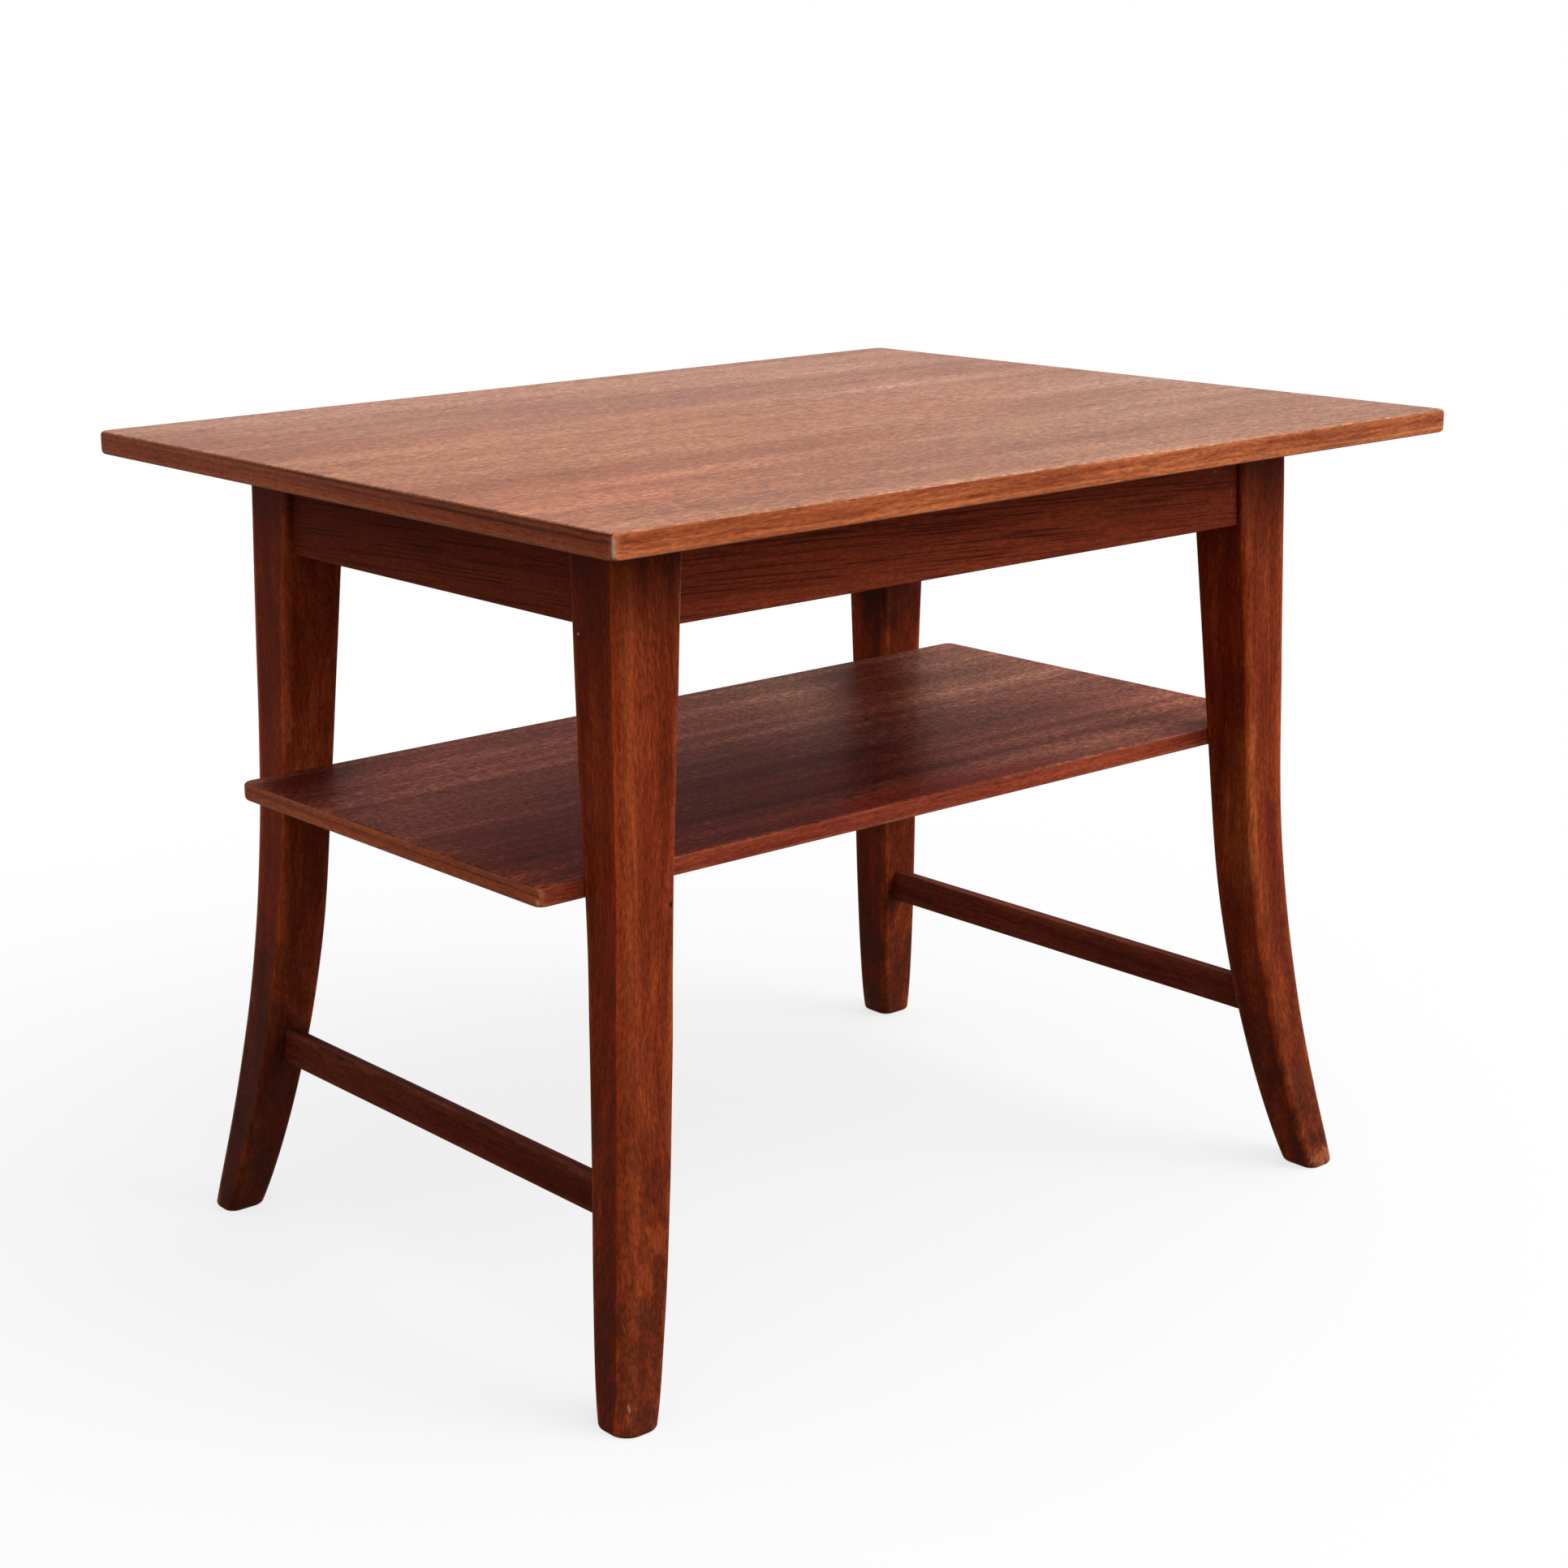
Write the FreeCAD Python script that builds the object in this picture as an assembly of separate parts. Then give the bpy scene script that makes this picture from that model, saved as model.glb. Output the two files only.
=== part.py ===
import FreeCAD, Part
import os
from math import atan2, cos, pi, radians, sin, sqrt, tan

Vector = FreeCAD.Vector

# Coffee table with a shelf, in millimetres.
# X runs along the length, Y along the width, Z up; the origin is on the floor under the middle.
# Front is -Y and left is -X.

# Overall size
top_length = 740.0
top_width = 580.0
table_height = 570.0

# Boards: a core with solid lippings round it, veneered on both faces
top_core_thickness = 14.4
shelf_core_thickness = 11.4
veneer_thickness = 0.8
lipping_width = 8.0
board_corner_radius = 2.5
shelf_end_overhang = 33.2
shelf_height = 336.0

# Legs: sabre shaped along both X and Y, straight at first and then swept outwards
leg_end_overhang = 67.4
leg_side_overhang = 82.4
leg_top_width = 50.7
leg_outer_tilt = 1.1
leg_inner_taper = 3.6
leg_outer_sweep_start = 324.0
leg_outer_sweep_radius = 1770.0
leg_inner_sweep_start = 262.0
leg_inner_sweep_radius = 1350.0
leg_sweep_sections = 7
leg_outer_arris_radius = 9.0
leg_arris_radius = 4.0
leg_arris_flats = 3
foot_chamfer_height = 3.0
foot_chamfer_inset = 2.0

# Aprons under the top, with a stub tenon at each end
apron_height = 64.0
apron_thickness = 18.0
apron_setback = 6.0
apron_arris_radius = 1.5
tenon_length = 20.0
tenon_thickness = 8.0
tenon_shoulder = 10.0
mortise_end_gap = 1.0

# Stretchers low down between the legs of each short end
stretcher_height = 25.0
stretcher_thickness = 10.0
stretcher_bottom = 116.0
stretcher_setback = 16.0
stretcher_arris_radius = 1.5
stretcher_pocket_depth = 10.0

# Dowels between the shelf and the legs
dowel_diameter = 6.0
dowel_length = 32.0
dowel_end_gap = 1.0

# Fixing blocks glued behind the middle of the aprons, each with a screw up into the top
block_length = 60.0
block_size = 22.0
block_chamfer = 4.0
screw_bite = 10.0
screw_diameter = 4.0
screw_head_diameter = 8.0
screw_head_height = 2.4

# Fits
joint_clearance = 0.05
shelf_seat_depth = 0.2

# Heights and places that follow from the sizes above
top_thickness = top_core_thickness + 2 * veneer_thickness
shelf_thickness = shelf_core_thickness + 2 * veneer_thickness
top_underside = table_height - top_thickness
shelf_underside = shelf_height - shelf_thickness
apron_bottom = top_underside - apron_height
leg_x = top_length / 2 - leg_end_overhang
leg_y = top_width / 2 - leg_side_overhang

# A side's own directions: s along the side, t outwards from the middle of the table, z up
SIDES = {
    "front": lambda s, t, z: Vector(s, -t, z),
    "back": lambda s, t, z: Vector(s, t, z),
    "left": lambda s, t, z: Vector(-t, s, z),
    "right": lambda s, t, z: Vector(t, s, z),
}
LONG_SIDES = ("front", "back")
END_SIDES = ("left", "right")


class LegFace:
    """A long face of a leg: straight down from the top, then an arc that sweeps outwards."""

    def __init__(self, top_offset, slope_degrees, sweep_start, sweep_radius):
        slope = radians(slope_degrees)
        self.top_offset = top_offset
        self.slope = slope
        self.sweep_start = sweep_start
        self.radius = sweep_radius
        self.centre_offset = self.straight(sweep_start) + sweep_radius * cos(slope)
        self.centre_height = sweep_start + sweep_radius * sin(slope)

    def straight(self, height):
        """Offset of the straight run at a height."""
        return self.top_offset + tan(self.slope) * (top_underside - height)

    def offset(self, height):
        """How far outwards the face lies from the leg's outer face at the top."""
        if height >= self.sweep_start:
            return self.straight(height)
        return self.centre_offset - sqrt(self.radius ** 2 - (self.centre_height - height) ** 2)


OUTER = LegFace(0.0, leg_outer_tilt, leg_outer_sweep_start, leg_outer_sweep_radius)
INNER = LegFace(-leg_top_width, leg_inner_taper, leg_inner_sweep_start, leg_inner_sweep_radius)


def leg_reach(side):
    """Distance from the middle to the legs' outer faces on a side, at the top."""
    return leg_y if side in LONG_SIDES else leg_x


def leg_span(side):
    """Distance from the middle to the outer faces of the two legs at a side's ends."""
    return leg_x if side in LONG_SIDES else leg_y


def leg_middle(height):
    """Offset of the middle of a leg's thickness."""
    return (OUTER.offset(height) + INNER.offset(height)) / 2


shelf_half_length = leg_x + OUTER.offset(shelf_height) + shelf_end_overhang
shelf_half_width = leg_y + INNER.offset(shelf_underside) + shelf_seat_depth


def prism(points, depth):
    """A flat outline given a depth along a vector."""
    return Part.Face(Part.makePolygon(points + points[:1])).extrude(depth)


def rod(start, end, radius):
    """A round bar between two points."""
    return Part.makeCylinder(radius, (end - start).Length, start, end - start)


def box_between(corner, opposite):
    """A box given by two opposite corners."""
    low = Vector(min(corner.x, opposite.x), min(corner.y, opposite.y), min(corner.z, opposite.z))
    high = Vector(max(corner.x, opposite.x), max(corner.y, opposite.y), max(corner.z, opposite.z))
    size = high - low
    return Part.makeBox(size.x, size.y, size.z, low)


def edges_where(shape, test):
    """The edges of a shape whose bounding box passes a test."""
    return [edge for edge in shape.Edges if test(edge.BoundBox)]


def rounded_plate(half_length, half_width, bottom, thickness):
    """A flat plate with its four upright corners rounded."""
    plate = box_between(Vector(-half_length, -half_width, bottom),
                        Vector(half_length, half_width, bottom + thickness))
    uprights = edges_where(plate, lambda box: box.ZLength > thickness / 2)
    return plate.makeFillet(board_corner_radius, uprights)


def lipping(side, half_length, half_width, bottom, thickness):
    """The solid strip along one edge of a board, mitred at both ends."""
    place = SIDES[side]
    half_span, reach = (half_length, half_width) if side in LONG_SIDES else (half_width, half_length)
    inner_span = half_span - lipping_width
    inner_reach = reach - lipping_width
    strip = prism([place(-half_span, reach, bottom), place(half_span, reach, bottom),
                   place(inner_span, inner_reach, bottom), place(-inner_span, inner_reach, bottom)],
                  Vector(0, 0, thickness))
    return strip.common(rounded_plate(half_length, half_width, bottom, thickness))


def board(name, half_length, half_width, bottom, core_thickness):
    """Core, four lippings and two veneers of the top or the shelf."""
    core_bottom = bottom + veneer_thickness
    core_top = core_bottom + core_thickness
    pieces = {
        name + "_core": box_between(
            Vector(lipping_width - half_length, lipping_width - half_width, core_bottom),
            Vector(half_length - lipping_width, half_width - lipping_width, core_top)),
        name + "_face_veneer": rounded_plate(half_length, half_width, core_top, veneer_thickness),
        name + "_backing_veneer": rounded_plate(half_length, half_width, bottom, veneer_thickness),
    }
    for side in SIDES:
        strip = lipping(side, half_length, half_width, core_bottom, core_thickness)
        pieces[name + "_lipping_" + side] = strip
    return pieces


def eased_corner(x, y, x_way, y_way, height, radius):
    """Points round an outline's corner, anticlockwise, where it is rounded in a few equal flats."""
    centre = Vector(x - x_way * radius, y - y_way * radius, height)
    start = atan2(y_way, x_way) - pi / 4
    angles = [start + pi / 2 * step / leg_arris_flats for step in range(leg_arris_flats + 1)]
    return [centre + Vector(radius * cos(angle), radius * sin(angle), 0) for angle in angles]


def leg_section(x_sign, y_sign, height, inset):
    """The outline of a leg at a height, drawn in all round by an inset, its outermost arris the roundest."""
    faces = {1: OUTER.offset(height) - inset, -1: INNER.offset(height) + inset}
    points = []
    for x_way, y_way in ((1, 1), (-1, 1), (-1, -1), (1, -1)):
        outermost = x_way == x_sign and y_way == y_sign
        radius = leg_outer_arris_radius if outermost else leg_arris_radius
        x = x_sign * (leg_x + faces[x_sign * x_way])
        y = y_sign * (leg_y + faces[y_sign * y_way])
        points += eased_corner(x, y, x_way, y_way, height, radius)
    return Part.makePolygon(points + points[:1])


def leg_blank(x_sign, y_sign):
    """A leg with eased arrises: a straight upper run, a lower run swept along X and Y, an eased foot."""
    sweep_top = max(leg_outer_sweep_start, leg_inner_sweep_start)
    step = (sweep_top - foot_chamfer_height) / (leg_sweep_sections - 1)
    heights = [sweep_top - step * number for number in range(leg_sweep_sections)]
    head = leg_section(x_sign, y_sign, top_underside, 0.0)
    swept = [leg_section(x_sign, y_sign, height, 0.0) for height in heights]
    sole = leg_section(x_sign, y_sign, 0.0, foot_chamfer_inset)
    upper = Part.makeLoft([head, swept[0]], True, True)
    lower = Part.makeLoft(swept, True, False)
    foot = Part.makeLoft([swept[-1], sole], True, True)
    return upper.fuse([lower, foot])


def tenon_bar(side, clearance, end_gap):
    """The bar whose two ends are an apron's tenons, or with a clearance and a gap their mortises."""
    place = SIDES[side]
    half_length = leg_span(side) + INNER.offset(top_underside) + tenon_length + end_gap
    middle = leg_reach(side) - apron_setback - apron_thickness / 2
    half_thickness = tenon_thickness / 2 + clearance
    bottom = apron_bottom + tenon_shoulder - clearance
    top = top_underside - tenon_shoulder + clearance
    return box_between(place(-half_length, middle - half_thickness, bottom),
                       place(half_length, middle + half_thickness, top))


def apron(side):
    """An apron whose shoulders follow the taper of the legs, its lower arrises eased."""
    place = SIDES[side]
    outer = leg_reach(side) - apron_setback
    lower_half = leg_span(side) + INNER.offset(apron_bottom)
    upper_half = leg_span(side) + INNER.offset(top_underside)
    rail = prism([place(-lower_half, outer, apron_bottom), place(lower_half, outer, apron_bottom),
                  place(upper_half, outer, top_underside), place(-upper_half, outer, top_underside)],
                 place(0, -apron_thickness, 0))
    lower_edges = edges_where(rail, lambda box: box.ZMax < apron_bottom + apron_arris_radius
                              and box.DiagonalLength > 2 * apron_thickness)
    return rail.makeFillet(apron_arris_radius, lower_edges).fuse(tenon_bar(side, 0.0, 0.0))


def shelf_dowels(side, clearance, end_gap):
    """The dowels between the shelf and the two legs of a long side, or their holes."""
    place = SIDES[side]
    height = (shelf_underside + shelf_height) / 2
    along = leg_x + leg_middle(height)
    half_length = dowel_length / 2 + end_gap
    return [rod(place(end * along, shelf_half_width - half_length, height),
                place(end * along, shelf_half_width + half_length, height),
                dowel_diameter / 2 + clearance) for end in (-1, 1)]


def stretcher_bar(side, clearance):
    """The bar between the two legs of a short end, or with a clearance the pockets for it."""
    place = SIDES[side]
    middle = stretcher_bottom + stretcher_height / 2
    outer = leg_x + OUTER.offset(middle) - stretcher_setback + clearance
    inner = outer - stretcher_thickness - 2 * clearance
    half_length = leg_y + INNER.offset(stretcher_bottom) + stretcher_pocket_depth + clearance
    bar = box_between(place(-half_length, inner, stretcher_bottom - clearance),
                      place(half_length, outer, stretcher_bottom + stretcher_height + clearance))
    return bar.makeFillet(stretcher_arris_radius, edges_where(bar, lambda box: box.YLength > half_length))


def block_blank(side):
    """A fixing block in the corner of an apron and the top, its free arris chamfered."""
    place = SIDES[side]
    back = leg_reach(side) - apron_setback - apron_thickness
    front = back - block_size
    bottom = top_underside - block_size
    start = -block_length / 2
    return prism([place(start, back, bottom), place(start, back, top_underside),
                  place(start, front, top_underside), place(start, front, bottom + block_chamfer),
                  place(start, front + block_chamfer, bottom)],
                 place(block_length, 0, 0))


def screw_seat(side):
    """Where the head of a block's screw bears on the underside of the block."""
    line = leg_reach(side) - apron_setback - apron_thickness - block_size / 2
    return SIDES[side](0.0, line, top_underside - block_size)


def screw_shank(side, clearance):
    """The shank from a block up into the top, or with a clearance its hole."""
    length = block_size + screw_bite + clearance
    return rod(screw_seat(side), screw_seat(side) + Vector(0, 0, length), screw_diameter / 2 + clearance)


def block_screw(side):
    """A screw with a flat round head below its block."""
    seat = screw_seat(side)
    head = rod(seat - Vector(0, 0, screw_head_height), seat, screw_head_diameter / 2)
    return screw_shank(side, 0.0).fuse(head)


def make_boards():
    """Top and shelf, with the holes for the screws and dowels that enter them."""
    pieces = board("top", top_length / 2, top_width / 2, top_underside, top_core_thickness)
    pieces.update(board("shelf", shelf_half_length, shelf_half_width, shelf_underside, shelf_core_thickness))
    screw_holes = [screw_shank(side, joint_clearance) for side in SIDES]
    for name in ("top_core", "top_backing_veneer"):
        pieces[name] = pieces[name].cut(screw_holes)
    for side in LONG_SIDES:
        holes = shelf_dowels(side, joint_clearance, dowel_end_gap)
        for name in ("shelf_core", "shelf_lipping_" + side):
            pieces[name] = pieces[name].cut(holes)
    return pieces


def make_legs():
    """The four legs, with their mortises, stretcher pockets, dowel holes and flat seats for the shelf."""
    cuts = [box_between(Vector(-shelf_half_length, -shelf_half_width, shelf_underside),
                        Vector(shelf_half_length, shelf_half_width, shelf_height))]
    cuts += [tenon_bar(side, joint_clearance, mortise_end_gap) for side in SIDES]
    cuts += [stretcher_bar(side, joint_clearance) for side in END_SIDES]
    for side in LONG_SIDES:
        cuts += shelf_dowels(side, joint_clearance, dowel_end_gap)
    legs = {}
    for y_name, y_sign in (("front", -1), ("back", 1)):
        for x_name, x_sign in (("left", -1), ("right", 1)):
            legs["leg_" + y_name + "_" + x_name] = leg_blank(x_sign, y_sign).cut(cuts)
    return legs


def make_frame():
    """Aprons, stretchers and fixing blocks."""
    pieces = {"apron_" + side: apron(side) for side in SIDES}
    for side in END_SIDES:
        pieces["stretcher_" + side] = stretcher_bar(side, 0.0)
    for side in SIDES:
        pieces["fixing_block_" + side] = block_blank(side).cut(screw_shank(side, joint_clearance))
    return pieces


def make_fasteners():
    """Dowels of each long side, and the screws, as groups."""
    pieces = {"shelf_dowels_" + side: Part.makeCompound(shelf_dowels(side, 0.0, 0.0)) for side in LONG_SIDES}
    pieces["block_to_top_screws"] = Part.makeCompound([block_screw(side) for side in SIDES])
    return pieces


pieces = {}
pieces.update(make_boards())
pieces.update(make_legs())
pieces.update(make_frame())
pieces.update(make_fasteners())

os.makedirs("parts", exist_ok=True)
for name, shape in pieces.items():
    shape.exportStep(os.path.join("parts", name + ".step"))
    print(name, len(shape.Solids), round(shape.Volume), shape.isValid())
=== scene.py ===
"""Looks of a wooden coffee table with a shelf, built round its solid model.

Every piece is worked out in metres in the model's own frame: X runs along the length, Y along the
width and Z up, with the origin on the floor under the middle. Front is -Y and left is -X.
"""

import logging
from dataclasses import dataclass
from enum import Enum
from functools import reduce

import bpy
import numpy as np
from mathutils import Matrix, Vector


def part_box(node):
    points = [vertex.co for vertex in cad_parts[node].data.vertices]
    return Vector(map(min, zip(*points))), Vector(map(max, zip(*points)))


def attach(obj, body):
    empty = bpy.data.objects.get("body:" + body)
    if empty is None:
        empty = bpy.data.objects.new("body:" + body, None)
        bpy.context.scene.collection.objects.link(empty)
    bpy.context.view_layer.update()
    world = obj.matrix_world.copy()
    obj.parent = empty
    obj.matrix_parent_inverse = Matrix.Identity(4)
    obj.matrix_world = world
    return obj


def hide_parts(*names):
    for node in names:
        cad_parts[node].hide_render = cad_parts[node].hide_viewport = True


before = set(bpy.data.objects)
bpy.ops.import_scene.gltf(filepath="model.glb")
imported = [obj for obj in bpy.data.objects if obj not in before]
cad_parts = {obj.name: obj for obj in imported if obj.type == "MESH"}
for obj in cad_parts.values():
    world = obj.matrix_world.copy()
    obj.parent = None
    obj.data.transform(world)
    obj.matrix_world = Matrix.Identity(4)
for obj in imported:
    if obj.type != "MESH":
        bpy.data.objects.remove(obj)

MM = 0.001
BODY = "root"
SHARP_DEGREES = 40.0
WHITE = (1.0, 1.0, 1.0)
CORNER_WAYS = np.array([(1, 1), (-1, 1), (-1, -1), (1, -1)])

Triple = tuple[float, float, float]
Pair = tuple[float, float]
Points = np.ndarray
Marks = dict[str, Points]
Piece = bpy.types.Object
Material = bpy.types.Material
Socket = bpy.types.NodeSocket

log = logging.getLogger("coffee_table")


class Side(Enum):
    """The four sides of the table."""

    FRONT = "front"
    BACK = "back"
    LEFT = "left"
    RIGHT = "right"

    @property
    def is_long(self) -> bool:
        """Whether the side runs along the length of the table."""
        return self in (Side.FRONT, Side.BACK)

    def across(self, node: str) -> Pair:
        """How far out from the middle of the table a node on this side reaches, and its thickness."""
        low, high = (corner[1 if self.is_long else 0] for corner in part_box(node))
        return max(abs(low), abs(high)), high - low

    def place(self, along: Points, outward: Points, height: Points) -> Points:
        """Turns a side's own distances into points.

        Args:
            along: distances along the side from its middle.
            outward: distances outwards from the middle of the table.
            height: heights above the floor.

        Returns:
            Points, with X, Y and Z in the last axis.
        """
        along, outward, height = np.broadcast_arrays(along, outward, height)
        plan = {Side.FRONT: (along, -outward), Side.BACK: (-along, outward),
                Side.LEFT: (-outward, -along), Side.RIGHT: (outward, along)}
        return np.stack([*plan[self], height], axis=-1)


class Grain(Enum):
    """Which way the fibres run, with the turn in degrees that lays them along X."""

    LENGTHWISE = (0.0, 0.0, 0.0)
    CROSSWISE = (0.0, 0.0, -90.0)
    UPRIGHT = (0.0, 90.0, 0.0)

    @classmethod
    def along(cls, side: Side) -> "Grain":
        """The grain of a rail or lipping that runs along a side."""
        return cls.LENGTHWISE if side.is_long else cls.CROSSWISE


class LegPlace(Enum):
    """Where a leg stands, with the signs of its X and Y."""

    FRONT_LEFT = (-1, -1)
    FRONT_RIGHT = (1, -1)
    BACK_LEFT = (-1, 1)
    BACK_RIGHT = (1, 1)


class Blend(Enum):
    """How a colour joins the one below it."""

    COVER = "MIX"
    GAIN = "MULTIPLY"


@dataclass(frozen=True)
class Log:
    """The wood that a set of pieces is cut from one after the other, so that no two match."""

    start: Triple
    step: Triple

    def cut(self, number: int) -> Triple:
        """Where in the log a piece is cut, in metres."""
        return tuple(start + number * step for start, step in zip(self.start, self.step))


def tone(red: int, green: int, blue: int) -> Triple:
    """A colour as a shader wants it, from the 8-bit sRGB values that a picture shows.

    Args:
        red: 0 to 255.
        green: 0 to 255.
        blue: 0 to 255.

    Returns:
        Linear red, green and blue.
    """
    shown = np.array([red, green, blue]) / 255
    linear = np.where(shown <= 0.04045, shown / 12.92, ((shown + 0.055) / 1.055) ** 2.4)
    return tuple(float(part) for part in linear)


def bell(distance: Points, reach: float) -> Points:
    """Falls off as a bell: 1 at no distance and about a third at the reach."""
    return np.exp(-(distance / reach) ** 2)


def wander(along: Points, seed: int, lengths: tuple[float, ...] = (0.41, 0.17, 0.073)) -> Points:
    """A gentle irregular line: a sum of sines, each as high as its length is to the longest.

    Args:
        along: distances along the line.
        seed: which line; each has its own phases.
        lengths: wave lengths.

    Returns:
        Heights, about -1 to 1, with the shape of along.
    """
    phases = np.random.default_rng(seed).uniform(0, 2 * np.pi, len(lengths))
    waves = [length * np.sin(2 * np.pi * along / length + phase)
             for length, phase in zip(lengths, phases)]
    return np.sum(waves, axis=0) / sum(lengths)


def arc_centres(corners: Points, radii: Points) -> Points:
    """Centres of the quarter circles that ease four corners, anticlockwise from the one at +, +."""
    return corners - radii[..., None] * CORNER_WAYS


def eased_outline(corners: Points, radii: Points, arc_steps: int, shares: Points) -> Points:
    """Four-cornered outlines with eased corners.

    A corner is a quarter circle about a centre set in from the corner by its radius along both
    sides. Between two quarter circles the side is straight.

    Args:
        corners: outlines, shape (..., 4, 2), anticlockwise from the corner at +, +.
        radii: corner radii, shape (..., 4).
        arc_steps: steps round a corner.
        shares: where a straight side has points, as shares of its length between 0 and 1.

    Returns:
        Points, shape (..., 4 * (arc_steps + 1 + len(shares)), 2).
    """
    angles = np.linspace(0, np.pi / 2, arc_steps + 1) + np.arange(4)[:, None] * np.pi / 2
    circle = np.stack([np.cos(angles), np.sin(angles)], axis=-1)
    arcs = arc_centres(corners, radii)[..., None, :] + radii[..., None, None] * circle
    starts = arcs[..., -1, :]
    stops = np.roll(arcs[..., 0, :], -1, axis=-2)
    sides = starts[..., None, :] + shares[:, None] * (stops - starts)[..., None, :]
    outline = np.concatenate([arcs, sides], axis=-2)
    return outline.reshape(*corners.shape[:-2], -1, 2)


def nearness(outlines: Points, centres: Points, radii: Points, reach: float) -> Points:
    """How near points of eased outlines lie to each eased corner.

    On the arc it is 1. On a side it falls off as a bell with the distance from the arc's end, which
    is the root of the squared distance to the centre less the squared radius.

    Args:
        outlines: points, shape (..., n, 2).
        centres: arc centres, shape (..., 4, 2).
        radii: arc radii, shape (..., 4).
        reach: the distance at which it has fallen to about a third.

    Returns:
        Values from 0 to 1, shape (..., n, 4).
    """
    away = np.sum((outlines[..., :, None, :] - centres[..., None, :, :]) ** 2, axis=-1)
    past = np.maximum(away - radii[..., None, :] ** 2, 0)
    return bell(np.sqrt(past), reach)


def raised(outlines: Points, height: Points) -> Points:
    """Flat outlines, shape (outlines, points, 2), each lifted to its own height."""
    tall = np.broadcast_to(height[:, None, None], (*outlines.shape[:2], 1))
    return np.concatenate([outlines, tall], axis=-1)


def enclosed_volume(points: Points, quads: Points) -> float:
    """Signed volume below a skin of quads, positive where they face outwards, up to its flat ends.

    Args:
        points: vertex places about a middle inside the piece.
        quads: four vertex numbers per face.

    Returns:
        The sum over the faces' two triangles of a sixth of their triple product.
    """
    a, b, c, d = (points[quads[:, corner]] for corner in range(4))
    triples = np.sum(a * np.cross(b, c), axis=1) + np.sum(a * np.cross(c, d), axis=1)
    return float(np.sum(triples)) / 6


def skin(name: str, rings: Points, marks: Marks) -> Piece:
    """A closed piece from a stack of closed outlines.

    Neighbouring outlines are joined by quads, and the first and last one are filled flat. Faces that
    meet at more than SHARP_DEGREES stay sharp.

    Args:
        name: the piece's name.
        rings: outlines, shape (outlines, points, 3).
        marks: named values that spread over (outlines, points), for the finish to read.

    Returns:
        The new object, at the origin, with its place in its mesh.
    """
    count, around = rings.shape[:2]
    number = np.arange(count * around).reshape(count, around)
    beside = np.roll(number, -1, axis=1)
    quads = np.stack([number[:-1], beside[:-1], beside[1:], number[1:]], axis=-1).reshape(-1, 4)
    points = rings.reshape(-1, 3)
    first, last = number[0][::-1], number[-1]
    if enclosed_volume(points - points.mean(axis=0), quads) < 0:
        quads, first, last = quads[:, ::-1], first[::-1], last[::-1]
    mesh = bpy.data.meshes.new(name)
    mesh.from_pydata(points.tolist(), [], quads.tolist() + [first.tolist(), last.tolist()])
    for mark, values in marks.items():
        spread = np.broadcast_to(values, (count, around)).astype(np.float32)
        mesh.attributes.new(mark, "FLOAT", "POINT").data.foreach_set("value", spread.ravel())
    mesh.polygons.foreach_set("use_smooth", np.ones(len(mesh.polygons), bool))
    mesh.set_sharp_from_angle(angle=np.radians(SHARP_DEGREES))
    mesh.validate()
    piece = bpy.data.objects.new(name, mesh)
    bpy.context.scene.collection.objects.link(piece)
    return piece


def add_piece(node: str, rings: Points, marks: Marks, slot: str, material: Material) -> Piece:
    """Makes a piece with its finish and puts it in the place of a solid node.

    Args:
        node: the solid model's node that it stands for.
        rings: its outlines, as skin takes them.
        marks: values for the finish, as skin takes them.
        slot: not used.
        material: its finish.

    Returns:
        The piece.
    """
    piece = skin(node + "_shaped", rings, marks)
    piece.data.materials.append(material)
    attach(piece, BODY)
    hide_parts(node)
    log.info("%s: %d faces for %s", piece.name, len(piece.data.polygons), node)
    return piece


def dress_node(node: str, material: Material) -> None:
    """Gives its finish to a node of the solid model that stays as it is.

    Args:
        node: the node's name.
        material: its finish.
    """
    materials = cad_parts[node].data.materials
    materials.clear()
    materials.append(material)
    log.info("%s: dressed as it is", node)


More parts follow.
